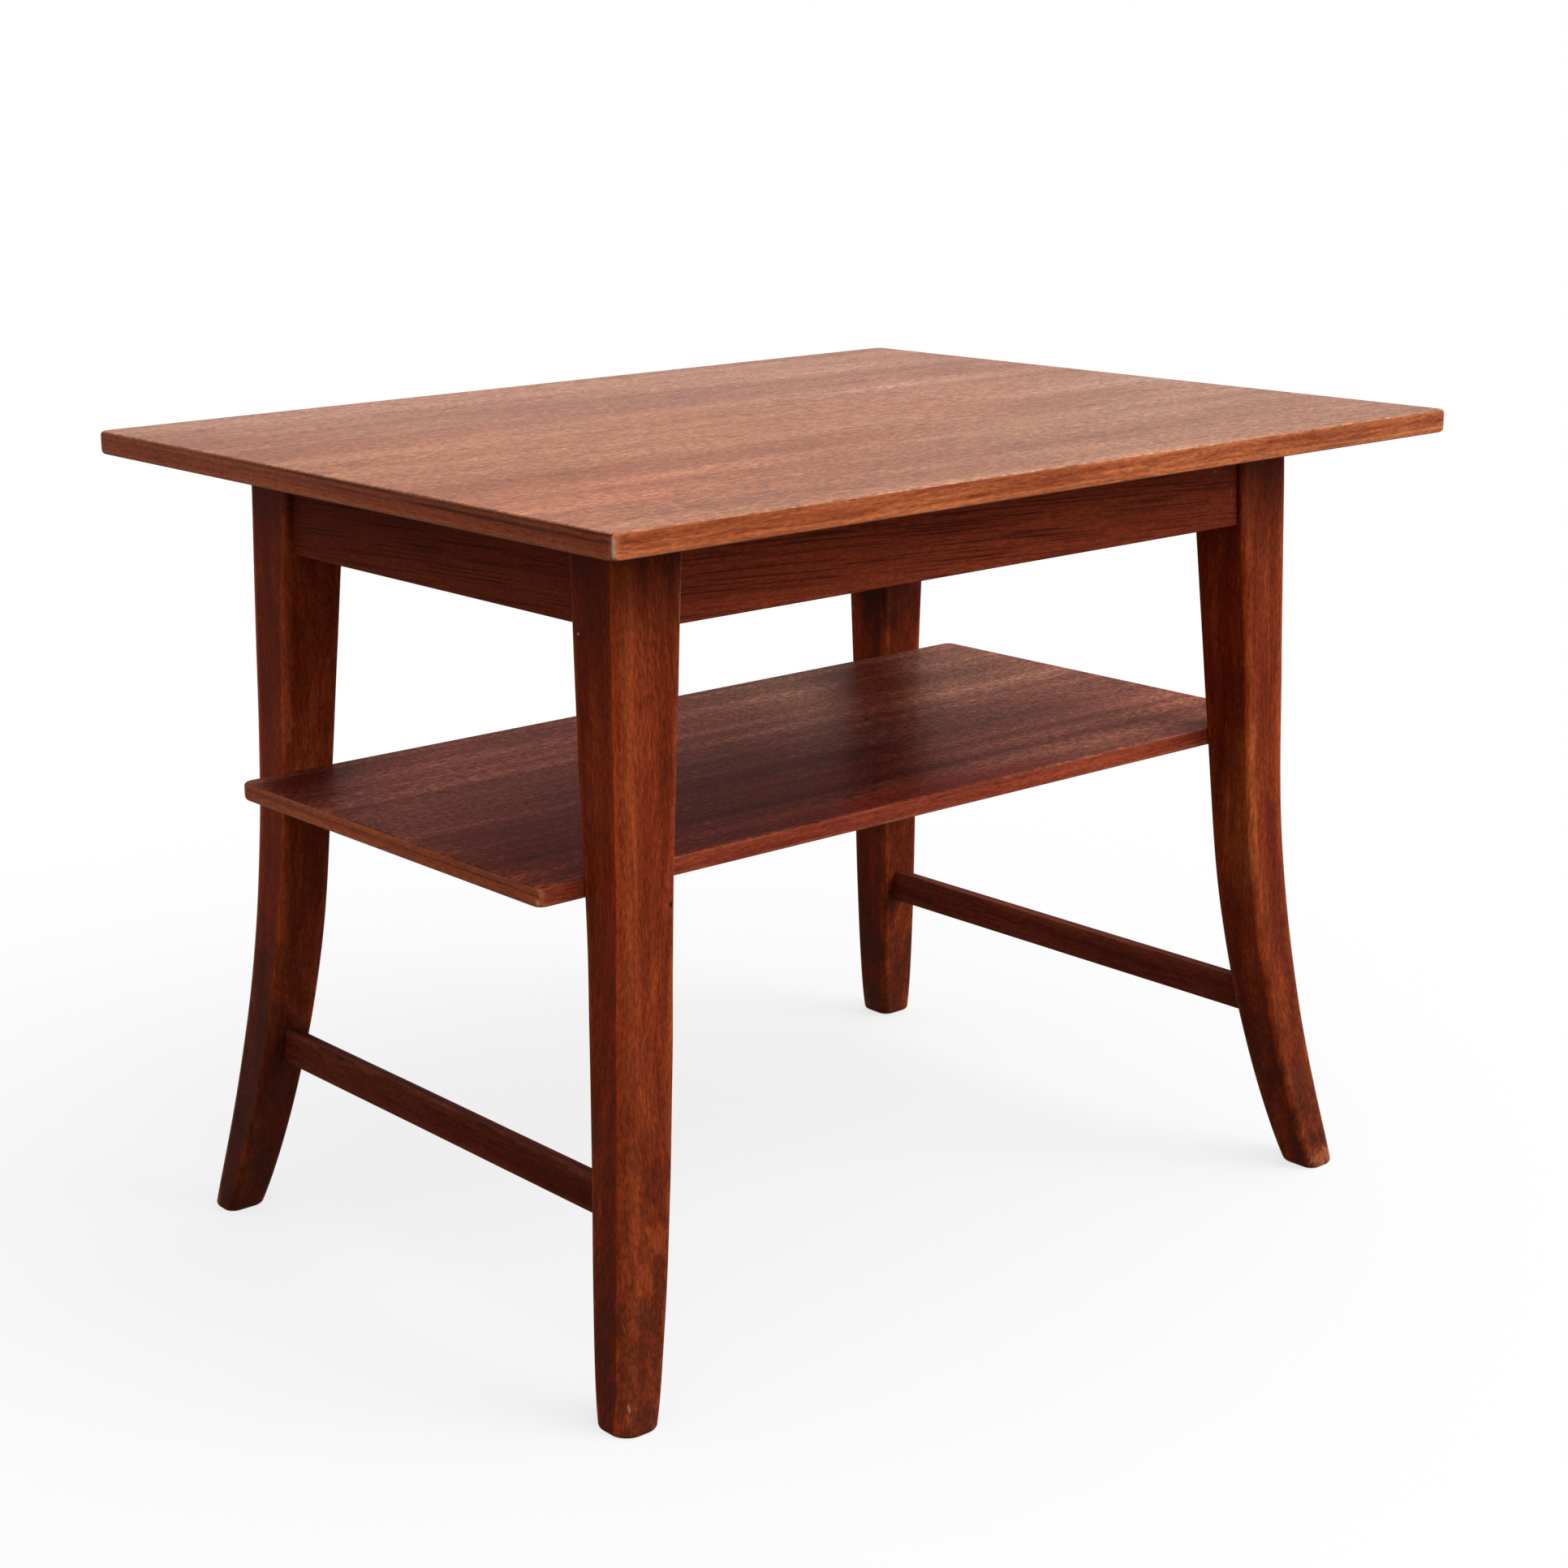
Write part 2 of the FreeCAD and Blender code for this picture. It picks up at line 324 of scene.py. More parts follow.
class Recipe:
    """The nodes of one material or world, wired as they are added."""

    def __init__(self, owner: Material | bpy.types.World) -> None:
        """Starts with no nodes.

        Args:
            owner: the material or world.
        """
        owner.use_nodes = True
        self.owner = owner
        self.tree = owner.node_tree
        self.tree.nodes.clear()

    def add(self, kind: str, sockets: dict | None = None, **settings: object) -> bpy.types.Node:
        """Adds a node.

        Args:
            kind: Blender's name for the kind of node.
            sockets: what goes into its inputs, by name or number: another node's output or a constant,
                which for a colour is three values.
            settings: the node's own options.

        Returns:
            The node.
        """
        node = self.tree.nodes.new(kind)
        for option, choice in settings.items():
            setattr(node, option, choice)
        for key, source in (sockets or {}).items():
            socket = node.inputs[key]
            if isinstance(source, Socket):
                self.tree.links.new(source, socket)
            else:
                socket.default_value = (*source, 1.0) if socket.type == "RGBA" else source
        return node

    def place(self) -> Socket:
        """Where a point is on the piece, in the frame of the table."""
        return self.add("ShaderNodeTexCoord").outputs["Object"]

    def mark(self, name: str) -> Socket:
        """A value that the mesh carries at each point."""
        return self.add("ShaderNodeAttribute", attribute_name=name).outputs["Fac"]

    def math(self, operation: str, first: Socket | float, second: Socket | float = 0.0) -> Socket:
        """One step of arithmetic with two values."""
        return self.add("ShaderNodeMath", {0: first, 1: second}, operation=operation).outputs[0]

    def times(self, *factors: Socket | float) -> Socket:
        """The product of two or more values."""
        return reduce(lambda product, factor: self.math("MULTIPLY", product, factor), factors)

    def about(self, cloud: Socket, amount: float) -> Socket:
        """Cloudy values, which lie about 0.5, moved to lie about 0, times an amount."""
        return self.times(self.math("SUBTRACT", cloud, 0.5), amount)

    def distance(self, spot: Socket) -> Socket:
        """How far a place is from the origin."""
        return self.add("ShaderNodeVectorMath", {0: spot}, operation="LENGTH").outputs["Value"]

    def along(self, spot: Socket, way: Triple) -> Socket:
        """How far a place lies along a way, by their dot product."""
        node = self.add("ShaderNodeVectorMath", {0: spot, 1: way}, operation="DOT_PRODUCT")
        return node.outputs["Value"]

    def ease(self, value: Socket, low: float, high: float, to_low: float = 0.0,
             to_high: float = 1.0) -> Socket:
        """A value spread smoothly from the range low to high over another, and level outside it."""
        sockets = {0: value, "From Min": low, "From Max": high, "To Min": to_low, "To Max": to_high}
        return self.add("ShaderNodeMapRange", sockets, interpolation_type="SMOOTHSTEP").outputs[0]

    def mapped(self, spot: Socket, scale: Triple = (1.0, 1.0, 1.0), turn: Triple = (0.0, 0.0, 0.0),
               shift: Triple = (0.0, 0.0, 0.0)) -> Socket:
        """Places scaled, turned (in degrees) and shifted, in that order."""
        sockets = {0: spot, "Location": shift, "Rotation": np.radians(turn).tolist(), "Scale": scale}
        return self.add("ShaderNodeMapping", sockets).outputs[0]

    def noise(self, spot: Socket, scale: Triple, detail: float = 2.0, roughness: float = 0.5) -> Socket:
        """Cloudy values from 0 to 1, stretched by a scale of patches per metre each way."""
        sockets = {0: self.mapped(spot, scale), "Scale": 1.0, "Detail": detail, "Roughness": roughness}
        return self.add("ShaderNodeTexNoise", sockets).outputs["Fac"]

    def mix(self, share: Socket | float, first: Socket | Triple, second: Socket | Triple,
            blend: Blend = Blend.COVER) -> Socket:
        """A first colour joined by a second colour or gain, by a share from 0 to 1."""
        sockets = {0: share, 6: first, 7: second}
        return self.add("ShaderNodeMix", sockets, data_type="RGBA", blend_type=blend.value).outputs[2]

    def ramp(self, value: Socket, stops: tuple[Triple, ...]) -> Socket:
        """Evenly spaced colours picked by a value.

        Args:
            value: from 0 to 1.
            stops: the colours, from 0 on.

        Returns:
            The colour at the value.
        """
        node = self.add("ShaderNodeValToRGB", {0: value})
        elements = node.color_ramp.elements
        for number, stop in enumerate(stops):
            spot = number / (len(stops) - 1)
            element = elements[number] if number < len(elements) else elements.new(spot)
            element.position = spot
            element.color = (*stop, 1.0)
        return node.outputs["Color"]

    def surface(self, sockets: dict) -> Material:
        """Ends the recipe with a principled surface.

        Args:
            sockets: what goes into the surface's inputs.

        Returns:
            The finished material.
        """
        surface = self.add("ShaderNodeBsdfPrincipled", sockets)
        self.add("ShaderNodeOutputMaterial", {"Surface": surface.outputs[0]})
        return self.owner


@dataclass(frozen=True)
class Cloud:
    """Cloudy patches of wear: their scale, their fineness and the levels they rise between."""

    scale: Triple
    detail: float
    roughness: float
    levels: Pair

    def shares(self, recipe: Recipe, spot: Socket, least: float = 0.0) -> Socket:
        """Shares from the least, below the lower level, to 1, above the upper one."""
        cloud = recipe.noise(spot, self.scale, self.detail, self.roughness)
        return recipe.ease(cloud, *self.levels, least, 1.0)


@dataclass(frozen=True)
class Strand:
    """Marks of the wood stretched along the grain: millimetres across and along, and how strong."""

    width: float
    length: float
    amount: float

    def cloud(self, recipe: Recipe, run: Socket, detail: float = 1.0, roughness: float = 0.5) -> Socket:
        """Cloudy values in patches of that width and length, where the fibres run along X."""
        across = 1 / (MM * self.width)
        return recipe.noise(run, (1 / (MM * self.length), across, across), detail, roughness)


@dataclass(frozen=True)
class MarkOrPaintedLight:
    """A mark on one piece, such as a chip, a scratch or a worn patch, or a soft patch of painted
    light or painted shade, such as a painted reflection.

    Its centre and its reach along X, Y and Z are in millimetres.
    """

    centre: Triple
    reach: Triple
    colour: Triple
    strength: float = 0.8
    ragged: float = 0.7
    cloud: float = 400.0
    turn: float = 0.0
    core: float = 0.5
    blend: Blend = Blend.COVER

    def painted(self, recipe: Recipe, colour: Socket) -> Socket:
        """Paints the mark over a colour.

        The distance from the centre is counted in reaches, so the mark is an ellipsoid. It is turned
        about the upright by degrees. A fine cloud is added, which makes the rim ragged.

        Args:
            recipe: the material's nodes.
            colour: the colour below the mark.

        Returns:
            The colour with the mark.
        """
        place = recipe.place()
        offset = recipe.mapped(place, shift=tuple(-MM * middle for middle in self.centre))
        offset = recipe.mapped(offset, turn=(0.0, 0.0, -self.turn))
        offset = recipe.mapped(offset, scale=tuple(1 / (MM * reach) for reach in self.reach))
        cloud = recipe.noise(place, (self.cloud, self.cloud, self.cloud))
        rim = recipe.math("ADD", recipe.distance(offset), recipe.about(cloud, 2 * self.ragged))
        share = recipe.ease(rim, self.core, 1.0, self.strength, 0.0)
        return recipe.mix(share, colour, self.colour, self.blend)


@dataclass(frozen=True)
class Line:
    """A growth line that runs the length of a lipping at one height."""

    height: float
    thickness: float
    colour: Triple
    strength: float
    drift: float = 1.4 * MM
    fading: float = 0.0
    core: float = 0.2
    sway: Triple = (9.0, 1.0, 1.0)
    breaks: Cloud = Cloud((14.0, 300.0, 300.0), 3.0, 0.5, (0.3, 0.6))
    faintest: float = 0.35
    fades_between: Pair = (-0.1, 0.22)

    def painted(self, recipe: Recipe, run: Socket, colour: Socket) -> Socket:
        """Paints the line over a colour, wandering up and down a little and fading in and out.

        Towards the back of the table it fades for good, by the share that fading gives.

        Args:
            recipe: the material's nodes.
            run: places with the fibres along X.
            colour: the colour below the line.

        Returns:
            The colour with the line.
        """
        _, backward, height = recipe.add("ShaderNodeSeparateXYZ", {0: recipe.place()}).outputs
        swayed = recipe.math("ADD", height, recipe.about(recipe.noise(run, self.sway), 2 * self.drift))
        away = recipe.math("ABSOLUTE", recipe.math("SUBTRACT", swayed, self.height))
        share = recipe.times(
            recipe.ease(away, self.core * self.thickness, self.thickness, self.strength, 0.0),
            self.breaks.shares(recipe, run, self.faintest),
            recipe.ease(backward, *self.fades_between, 1.0, 1.0 - self.fading))
        return recipe.mix(share, colour, self.colour)


@dataclass(frozen=True)
class LightAndToneFade:
    """A soft change of colour along a way across a piece, lighter or darker by its gain; most
    are painted light and shade, such as painted sheen, painted reflections and painted shade.
    """

    way: Triple
    start: float
    stop: float
    gain: Triple
    drift: float = 0.12
    shy: float = 0.0
    border: Triple = (4.0, 9.0, 9.0)
    border_detail: float = 3.0

    def painted(self, recipe: Recipe, colour: Socket, taken: Socket | float) -> tuple[Socket, Socket]:
        """Changes a colour by the gain, further along the way the more, with a cloudy border.

        A shy fade keeps away from where earlier ones are at work.

        Args:
            recipe: the material's nodes.
            colour: the colour before it faded.
            taken: how far earlier fades are at work, 0 to 1.

        Returns:
            The faded colour, and how far the fades are at work now.
        """
        place = recipe.place()
        cloud = recipe.noise(place, self.border, self.border_detail)
        along = recipe.math("ADD", recipe.along(place, self.way), recipe.about(cloud, 2 * self.drift))
        free = recipe.math("SUBTRACT", 1.0, recipe.times(taken, self.shy))
        share = recipe.times(recipe.ease(along, self.start, self.stop), free)
        return recipe.mix(share, colour, self.gain, Blend.GAIN), recipe.math("MAXIMUM", taken, share)


@dataclass(frozen=True)
class WoodFinish:
    """A stained and oiled wood, with its figure at real scale.

    Bands, fibres, streaks, pores and grit are all clouds stretched along the grain: bands are broad and
    soft, fibres are fine and uneven, streaks are the dark lines of the growth rings, pores are short
    dark dashes and grit roughens the colour from one fibre to the next. Levels are the heights of a
    cloud between which its patches begin and are at their fullest.
    """

    dark: Triple
    middle: Triple
    light: Triple
    pore: Triple
    worn: Triple
    bands: Strand = Strand(30, 600, 1.6)
    fibres: Strand = Strand(3.2, 28, 1.6)
    streaks: Strand = Strand(4.5, 700, 0.35)
    pores: Strand = Strand(0.8, 9, 0.5)
    grit: Strand = Strand(1.4, 5, 0.15)
    fibre_levels: Pair = (0.3, 0.7)
    streak_levels: Pair = (0.52, 0.72)
    pore_cover: float = 0.56
    pore_edge: float = 0.12
    grit_levels: Pair = (0.32, 0.68)
    patch_amount: float = 0.35
    patch_size: float = 0.12
    patch_squash: float = 0.45
    patch_levels: Pair = (0.4, 0.7)
    wave: float = 0.006
    wave_length: float = 0.60
    waves_across: float = 9.0
    wear: float = 0.5
    rub: Cloud = Cloud((24.0, 160.0, 160.0), 4.0, 0.65, (0.3, 0.7))
    roughness: float = 0.45
    rough_swing: float = 0.06
    worn_roughness: float = 0.1
    gloss: float = 0.35
    relief: float = 0.25
    relief_depth: float = 0.4 * MM
    fibre_relief: float = 0.6
    lines: tuple[Line, ...] = ()
    light_and_tone_fades: tuple[LightAndToneFade, ...] = ()

    def material(self, node: str, grain: Grain, shift: Triple, tilt: Pair = (0.0, 0.0)) -> Material:
        """The finish on one piece, with the piece's own marks and its patches of painted light and shade.

        Args:
            node: the solid model's node that the piece is or stands for.
            grain: which way the fibres run.
            shift: where in the log the piece was cut, in metres.
            tilt: degrees by which the fibres run off the piece's length, upwards and sideways.

        Returns:
            The material.
        """
        recipe = Recipe(bpy.data.materials.new(node + "_wood"))
        laid = recipe.mapped(recipe.place(), turn=grain.value)
        laid = recipe.mapped(laid, turn=(0.0, *tilt), shift=shift)
        run, fine, colour = self.figure(recipe, laid)
        pores = recipe.ease(self.pores.cloud(recipe, run), self.pore_cover,
                            self.pore_cover + self.pore_edge, 0.0, self.pores.amount)
        colour = recipe.mix(pores, colour, self.pore)
        for line in self.lines:
            colour = line.painted(recipe, run, colour)
        taken: Socket | float = 0.0
        for fade in self.light_and_tone_fades:
            colour, taken = fade.painted(recipe, colour, taken)
        wear = recipe.times(recipe.mark("arris"), self.rub.shares(recipe, run), self.wear)
        colour = self.aged(recipe, recipe.mix(wear, colour, self.worn))
        for mark_or_light in MARKS_AND_PAINTED_LIGHT.get(node, ()):
            colour = mark_or_light.painted(recipe, colour)
        grit = recipe.ease(self.grit.cloud(recipe, run), *self.grit_levels, 1 - self.grit.amount,
                           1 + self.grit.amount)
        colour = recipe.mix(1.0, colour, grit, Blend.GAIN)
        smooth = recipe.ease(fine, *self.fibre_levels, self.roughness - self.rough_swing,
                             self.roughness + self.rough_swing)
        rough = recipe.math("ADD", smooth, recipe.times(wear, self.worn_roughness))
        height = recipe.math("SUBTRACT", recipe.times(fine, self.fibre_relief), pores)
        bump = recipe.add("ShaderNodeBump", {"Strength": self.relief, "Distance": self.relief_depth,
                                             "Height": height})
        return recipe.surface({"Base Color": colour, "Roughness": rough, "Normal": bump.outputs[0],
                               "Specular IOR Level": self.gloss})

    def figure(self, recipe: Recipe, laid: Socket) -> tuple[Socket, Socket, Socket]:
        """Bands, fibres, streaks and patches of the wood.

        Args:
            recipe: the material's nodes.
            laid: places with the fibres along X.

        Returns:
            Places with the waves of the fibres straightened, the fine fibres and the colour.
        """
        drift = recipe.noise(laid, (1 / self.wave_length, self.waves_across, self.waves_across), 1.0)
        drift = recipe.about(drift, self.wave)
        sideways = recipe.add("ShaderNodeCombineXYZ", {"Y": drift, "Z": drift}).outputs[0]
        run = recipe.add("ShaderNodeVectorMath", {0: laid, 1: sideways}, operation="ADD").outputs[0]
        bands = self.bands.cloud(recipe, run, detail=3.0, roughness=0.55)
        fine = self.fibres.cloud(recipe, run, detail=5.0, roughness=0.72)
        swing = recipe.math("ADD", recipe.about(bands, self.bands.amount),
                            recipe.about(fine, self.fibres.amount))
        colour = recipe.ramp(recipe.math("ADD", swing, 0.5), (self.dark, self.middle, self.light))
        streaks = self.streaks.cloud(recipe, run, detail=3.0, roughness=0.6)
        streaks = recipe.ease(streaks, *self.streak_levels, 0.0, self.streaks.amount)
        colour = recipe.mix(streaks, colour, self.dark)
        size = 1 / self.patch_size
        patches = recipe.noise(laid, (self.patch_squash * size, size, size))
        patches = recipe.ease(patches, *self.patch_levels, 0.0, self.patch_amount)
        return run, fine, recipe.mix(patches, colour, self.dark)

    def aged(self, recipe: Recipe, colour: Socket) -> Socket:
        """The colour with the marks of age that all pieces of this finish share: none."""
        return colour


@dataclass(frozen=True)
class LegFinish(WoodFinish):
    """The wood of the legs: pale down the outermost arris, partly rubbed and partly a painted highlight,
    and dull towards the foot.

    Hands reach the arris down to the handled heights. Under the top the band fades out and the leg is
    painted darker, as painted shade.
    """

    # pale band down the outermost arris: partly wear, partly a painted highlight where the arris catches
    # the light
    band: Triple = tone(158, 70, 36)
    band_amount: float = 0.8
    band_fibres: Cloud = Cloud((240.0, 240.0, 26.0), 5.0, 0.7, (0.36, 0.62))
    handled: Pair = (0.2, 0.36)
    least_handled: float = 0.4
    # heights over which the band fades out into the painted shade under the top
    band_in_shade: Pair = (0.495, 0.545)
    # gain of the painted light on the shaded side of the front arrises and the outermost one
    lift: Triple = (1.9, 1.9, 1.9)
    # warmer gain on each leg's left face: painted light
    flank: Triple = (1.25, 1.0, 0.85)
    foot: Triple = tone(72, 33, 21)
    foot_amount: float = 0.8
    foot_height: float = 0.34
    foot_blotches: Cloud = Cloud((64.0, 64.0, 38.0), 5.0, 0.65, (0.38, 0.6))
    least_rubbed: float = 0.15
    # painted shade on the leg just under the top
    shade: Triple = tone(66, 22, 12)
    shade_amount: float = 0.5
    shaded: Pair = (0.47, 0.55)
    joint: Triple = tone(170, 136, 120)
    joint_amount: float = 0.6
    joint_breaks: Cloud = Cloud((60.0, 60.0, 30.0), 3.0, 0.6, (0.35, 0.55))
    least_joint: float = 0.2

    def aged(self, recipe: Recipe, colour: Socket) -> Socket:
        """The colour with the rubbed arris, partly a painted highlight, the painted shade under the top,
        the dull foot and the pale lines at the joints.

        Two marks give where the front arrises and the outermost one are lighter and where the left face
        is warmer, both painted light.

        Args:
            recipe: the material's nodes.
            colour: the colour of the wood.

        Returns:
            The aged colour.
        """
        place = recipe.place()
        height = recipe.add("ShaderNodeSeparateXYZ", {0: place}).outputs["Z"]
        # the pale band, partly wear and partly a painted highlight, fading out into the painted shade
        # under the top
        rubbed_and_lit = recipe.times(
            recipe.mark("outermost"), self.band_fibres.shares(recipe, place, self.least_rubbed),
            recipe.ease(height, *self.handled, self.least_handled, 1.0), self.band_amount,
            recipe.ease(height, *self.band_in_shade, 1.0, 0.0))
        colour = recipe.mix(rubbed_and_lit, colour, self.band)
        # painted light on the shaded side of the front arrises and the outermost one
        colour = recipe.mix(recipe.mark("lift"), colour, self.lift, Blend.GAIN)
        # painted light: the left faces warmer
        colour = recipe.mix(recipe.mark("flank"), colour, self.flank, Blend.GAIN)
        # painted shade just under the top
        shade = recipe.ease(height, *self.shaded, 0.0, self.shade_amount)
        colour = recipe.mix(shade, colour, self.shade)
        dull = recipe.times(recipe.ease(height, 0.0, self.foot_height, self.foot_amount, 0.0),
                            self.foot_blotches.shares(recipe, place, self.least_rubbed))
        colour = recipe.mix(dull, colour, self.foot)
        breaks = self.joint_breaks.shares(recipe, place, self.least_joint)
        seam = recipe.times(recipe.mark("joint"), breaks, self.joint_amount)
        return recipe.mix(seam, colour, self.joint)


@dataclass(frozen=True)
class SteelFinish:
    """Plain brushed steel of the screws, with a tarnish that comes and goes in small patches."""

    bright: Triple = tone(176, 172, 164)
    dull: Triple = tone(120, 114, 104)
    roughness: float = 0.34
    tarnished_roughness: float = 0.54
    patches: Triple = (900.0, 900.0, 900.0)
    patch_detail: float = 3.0
    dull_levels: Pair = (0.35, 0.65)
    rough_levels: Pair = (0.3, 0.7)

    def material(self, name: str) -> Material:
        """The finish.

        Args:
            name: the material's name.

        Returns:
            The material.
        """
        recipe = Recipe(bpy.data.materials.new(name))
        tarnish = recipe.noise(recipe.place(), self.patches, self.patch_detail)
        colour = recipe.ramp(recipe.ease(tarnish, *self.dull_levels), (self.bright, self.dull))
        rough = recipe.ease(tarnish, *self.rough_levels, self.roughness, self.tarnished_roughness)
        return recipe.surface({"Base Color": colour, "Roughness": rough, "Metallic": 1.0})


# Finishes. Strands are in millimetres, fades in metres across the piece.
TOP_VENEER = WoodFinish(
    dark=tone(113, 58, 38), middle=tone(164, 100, 70), light=tone(207, 147, 112), pore=tone(92, 46, 34),
    worn=tone(190, 134, 104), bands=Strand(50, 700, 0.9), fibres=Strand(3, 10, 1.7),
    streaks=Strand(8, 160, 0.3), pores=Strand(3, 22, 0.6), pore_cover=0.61, grit=Strand(2.4, 4.2, 0.25),
    patch_amount=0.25, wave=0.02, wear=0.35, roughness=0.42, gloss=0.035, relief=0.15,
    # paler and whiter towards the back: painted sheen
    light_and_tone_fades=(LightAndToneFade((0.35, 1.0, 0.0), -0.06, 0.2, (1.11, 1.37, 1.70)),
           # paler and whiter towards the front right: painted sheen
           LightAndToneFade((0.35, -1.0, 0.0), 0.06, 0.26, (1.02, 1.32, 1.58)),
           # paler and warmer towards the front left
           LightAndToneFade((-0.3, -1.0, 0.0), 0.1, 0.3, (1.18, 1.11, 1.06))))
TOP_EDGE = WoodFinish(
    dark=tone(112, 46, 24), middle=tone(172, 88, 49), light=tone(212, 126, 76), pore=tone(92, 38, 22),
    worn=tone(204, 132, 88), bands=Strand(6, 160, 1.6), fibres=Strand(1.6, 22, 1.3),
    streaks=Strand(2.2, 120, 0.5), wave=0.012, wave_length=0.15, wear=0.45, gloss=0.05,
    light_and_tone_fades=(LightAndToneFade((1.0, 0.0, 0.0), -0.25, 0.3, (1.06, 1.18, 1.28)),),
    lines=(Line(564.0 * MM, 2.0 * MM, tone(118, 48, 26), 0.4),
           Line(557.5 * MM, 1.6 * MM, tone(206, 120, 70), 0.4)))
TOP_END_EDGE = WoodFinish(
    dark=tone(108, 46, 26), middle=tone(160, 76, 46), light=tone(190, 102, 62), pore=tone(80, 34, 22),
    worn=tone(190, 126, 90), bands=Strand(6, 300, 1.2), fibres=Strand(1.4, 30, 1.2),
    streaks=Strand(2.6, 700, 0.5), wear=0.4, gloss=0.04,
    lines=(Line(568.1 * MM, 1.3 * MM, tone(50, 18, 12), 0.95, 0.3 * MM, 0.6),
           Line(564.2 * MM, 1.7 * MM, tone(52, 19, 12), 0.9, 1.0 * MM, 0.85),
           Line(556.6 * MM, 1.5 * MM, tone(186, 104, 66), 0.35)))
# The shelf's face is darker than the top's, partly as painted shade under the top. Its soft changes of
# colour are painted light and shade.
SHELF_VENEER = WoodFinish(
    dark=tone(70, 26, 22), middle=tone(105, 43, 35), light=tone(140, 67, 55), pore=tone(52, 21, 18),
    worn=tone(160, 100, 74), bands=Strand(24, 1400, 1.5), fibres=Strand(3.6, 7, 1.9),
    streaks=Strand(7, 400, 0.25), pores=Strand(3, 8, 0.5), pore_cover=0.6, grit=Strand(2.4, 4, 0.28),
    wave=0.008, wear=0.12, roughness=0.36, gloss=0.003, relief=0.15,
    # paler and whiter towards the right end: painted light and painted reflection
    light_and_tone_fades=(LightAndToneFade((1.0, -0.25, 0.0), -0.05, 0.29, (2.9, 5.3, 5.0), 0.05),
           # paler and whiter towards the back: painted reflection
           LightAndToneFade((0.0, 1.0, 0.0), -0.075, 0.145, (3.9, 6.3, 5.9), 0.04, 0.88),
           # darker by the back right leg: painted shade
           LightAndToneFade((0.85, 1.0, 0.0), 0.18, 0.31, (0.66, 0.66, 0.68), 0.03),
           # darker by the back left leg: painted shade
           LightAndToneFade((-1.0, 1.0, 0.0), 0.31, 0.42, (0.55, 0.52, 0.54), 0.04),
           # darker along the front: painted shade under the top
           LightAndToneFade((0.0, -1.0, 0.0), 0.06, 0.13, (0.77, 0.72, 0.7), 0.03),
           # paler towards the left end at the front: painted light
           LightAndToneFade((-1.0, -0.6, 0.0), 0.34, 0.42, (1.6, 1.7, 1.35), 0.02)))
SHELF_EDGE = WoodFinish(
    dark=tone(96, 34, 22), middle=tone(136, 56, 36), light=tone(166, 80, 50), pore=tone(74, 26, 18),
    worn=tone(184, 116, 80), bands=Strand(6, 200, 1.4), fibres=Strand(1.6, 22, 1.2),
    streaks=Strand(2, 700, 0.5), wear=0.45, gloss=0.04)
SHELF_END_EDGE = WoodFinish(
    dark=tone(116, 48, 27), middle=tone(171, 81, 46), light=tone(200, 105, 62), pore=tone(82, 34, 22),
    worn=tone(194, 134, 96), bands=Strand(6, 300, 1.2), fibres=Strand(1.4, 30, 1.2),
    streaks=Strand(2, 700, 0.5), gloss=0.04,
    lines=(Line(330.5 * MM, 1.3 * MM, tone(70, 28, 18), 0.7, 0.8 * MM, 0.8),))
BACKING = WoodFinish(
    dark=tone(108, 58, 40), middle=tone(138, 80, 56), light=tone(166, 106, 76), pore=tone(84, 44, 32),
    worn=tone(172, 116, 86), bands=Strand(40, 700, 1.6), roughness=0.6, gloss=0.12)
LEG_WOOD = LegFinish(
    dark=tone(78, 26, 12), middle=tone(120, 46, 22), light=tone(160, 72, 36), pore=tone(60, 20, 11),
    worn=tone(166, 80, 40), bands=Strand(16, 160, 1.5), fibres=Strand(2.2, 18, 1.1),
    streaks=Strand(3.5, 250, 0.35), pores=Strand(1.2, 12, 0.3), grit=Strand(1.4, 5, 0.22),
    patch_amount=0.5, patch_size=0.04, wave=0.03, wave_length=0.22, wear=0.55, roughness=0.42, gloss=0.02)
APRON_WOOD = WoodFinish(
    dark=tone(88, 32, 19), middle=tone(130, 53, 32), light=tone(160, 74, 46), pore=tone(54, 18, 11),
    worn=tone(160, 82, 50), bands=Strand(30, 300, 0.7), fibres=Strand(1.6, 10, 0.9),
    streaks=Strand(1.6, 220, 0.5), pores=Strand(1.3, 90, 0.6), pore_cover=0.53, patch_amount=0.25,
    wave=0.003, wear=0.3, gloss=0.01, relief=0.4)
STRETCHER_WOOD = WoodFinish(
    dark=tone(65, 23, 14), middle=tone(92, 36, 23), light=tone(116, 51, 34), pore=tone(47, 17, 11),
    worn=tone(150, 80, 52), bands=Strand(9, 250, 1.6), fibres=Strand(2, 28, 1.6),
    streaks=Strand(2.5, 700, 0.35), wear=0.4, gloss=0.006,
    # the right stretcher paler and whiter than the left: partly painted light
    light_and_tone_fades=(LightAndToneFade((1.0, 0.0, 0.0), -0.25, 0.25, (1.9, 1.95, 2.1), 0.0),
           # upper faces darker: painted shade under the shelf
           LightAndToneFade((0.0, 0.0, 1.0), 0.1395, 0.1409, (0.6, 0.62, 0.68), 0.0)))
BLOCK_WOOD = WoodFinish(
    dark=tone(140, 92, 58), middle=tone(170, 122, 82), light=tone(196, 150, 108), pore=tone(110, 72, 46),
    worn=tone(200, 160, 120), bands=Strand(10, 200, 1.6), fibres=Strand(2, 28, 1.6), roughness=0.6,
    gloss=0.15)
CORE_WOOD = WoodFinish(
    dark=tone(150, 116, 80), middle=tone(180, 148, 108), light=tone(204, 174, 134), pore=tone(126, 94, 62),
    worn=tone(204, 176, 136), bands=Strand(25, 500, 1.6), roughness=0.7, gloss=0.15)
SCREW_STEEL = SteelFinish()


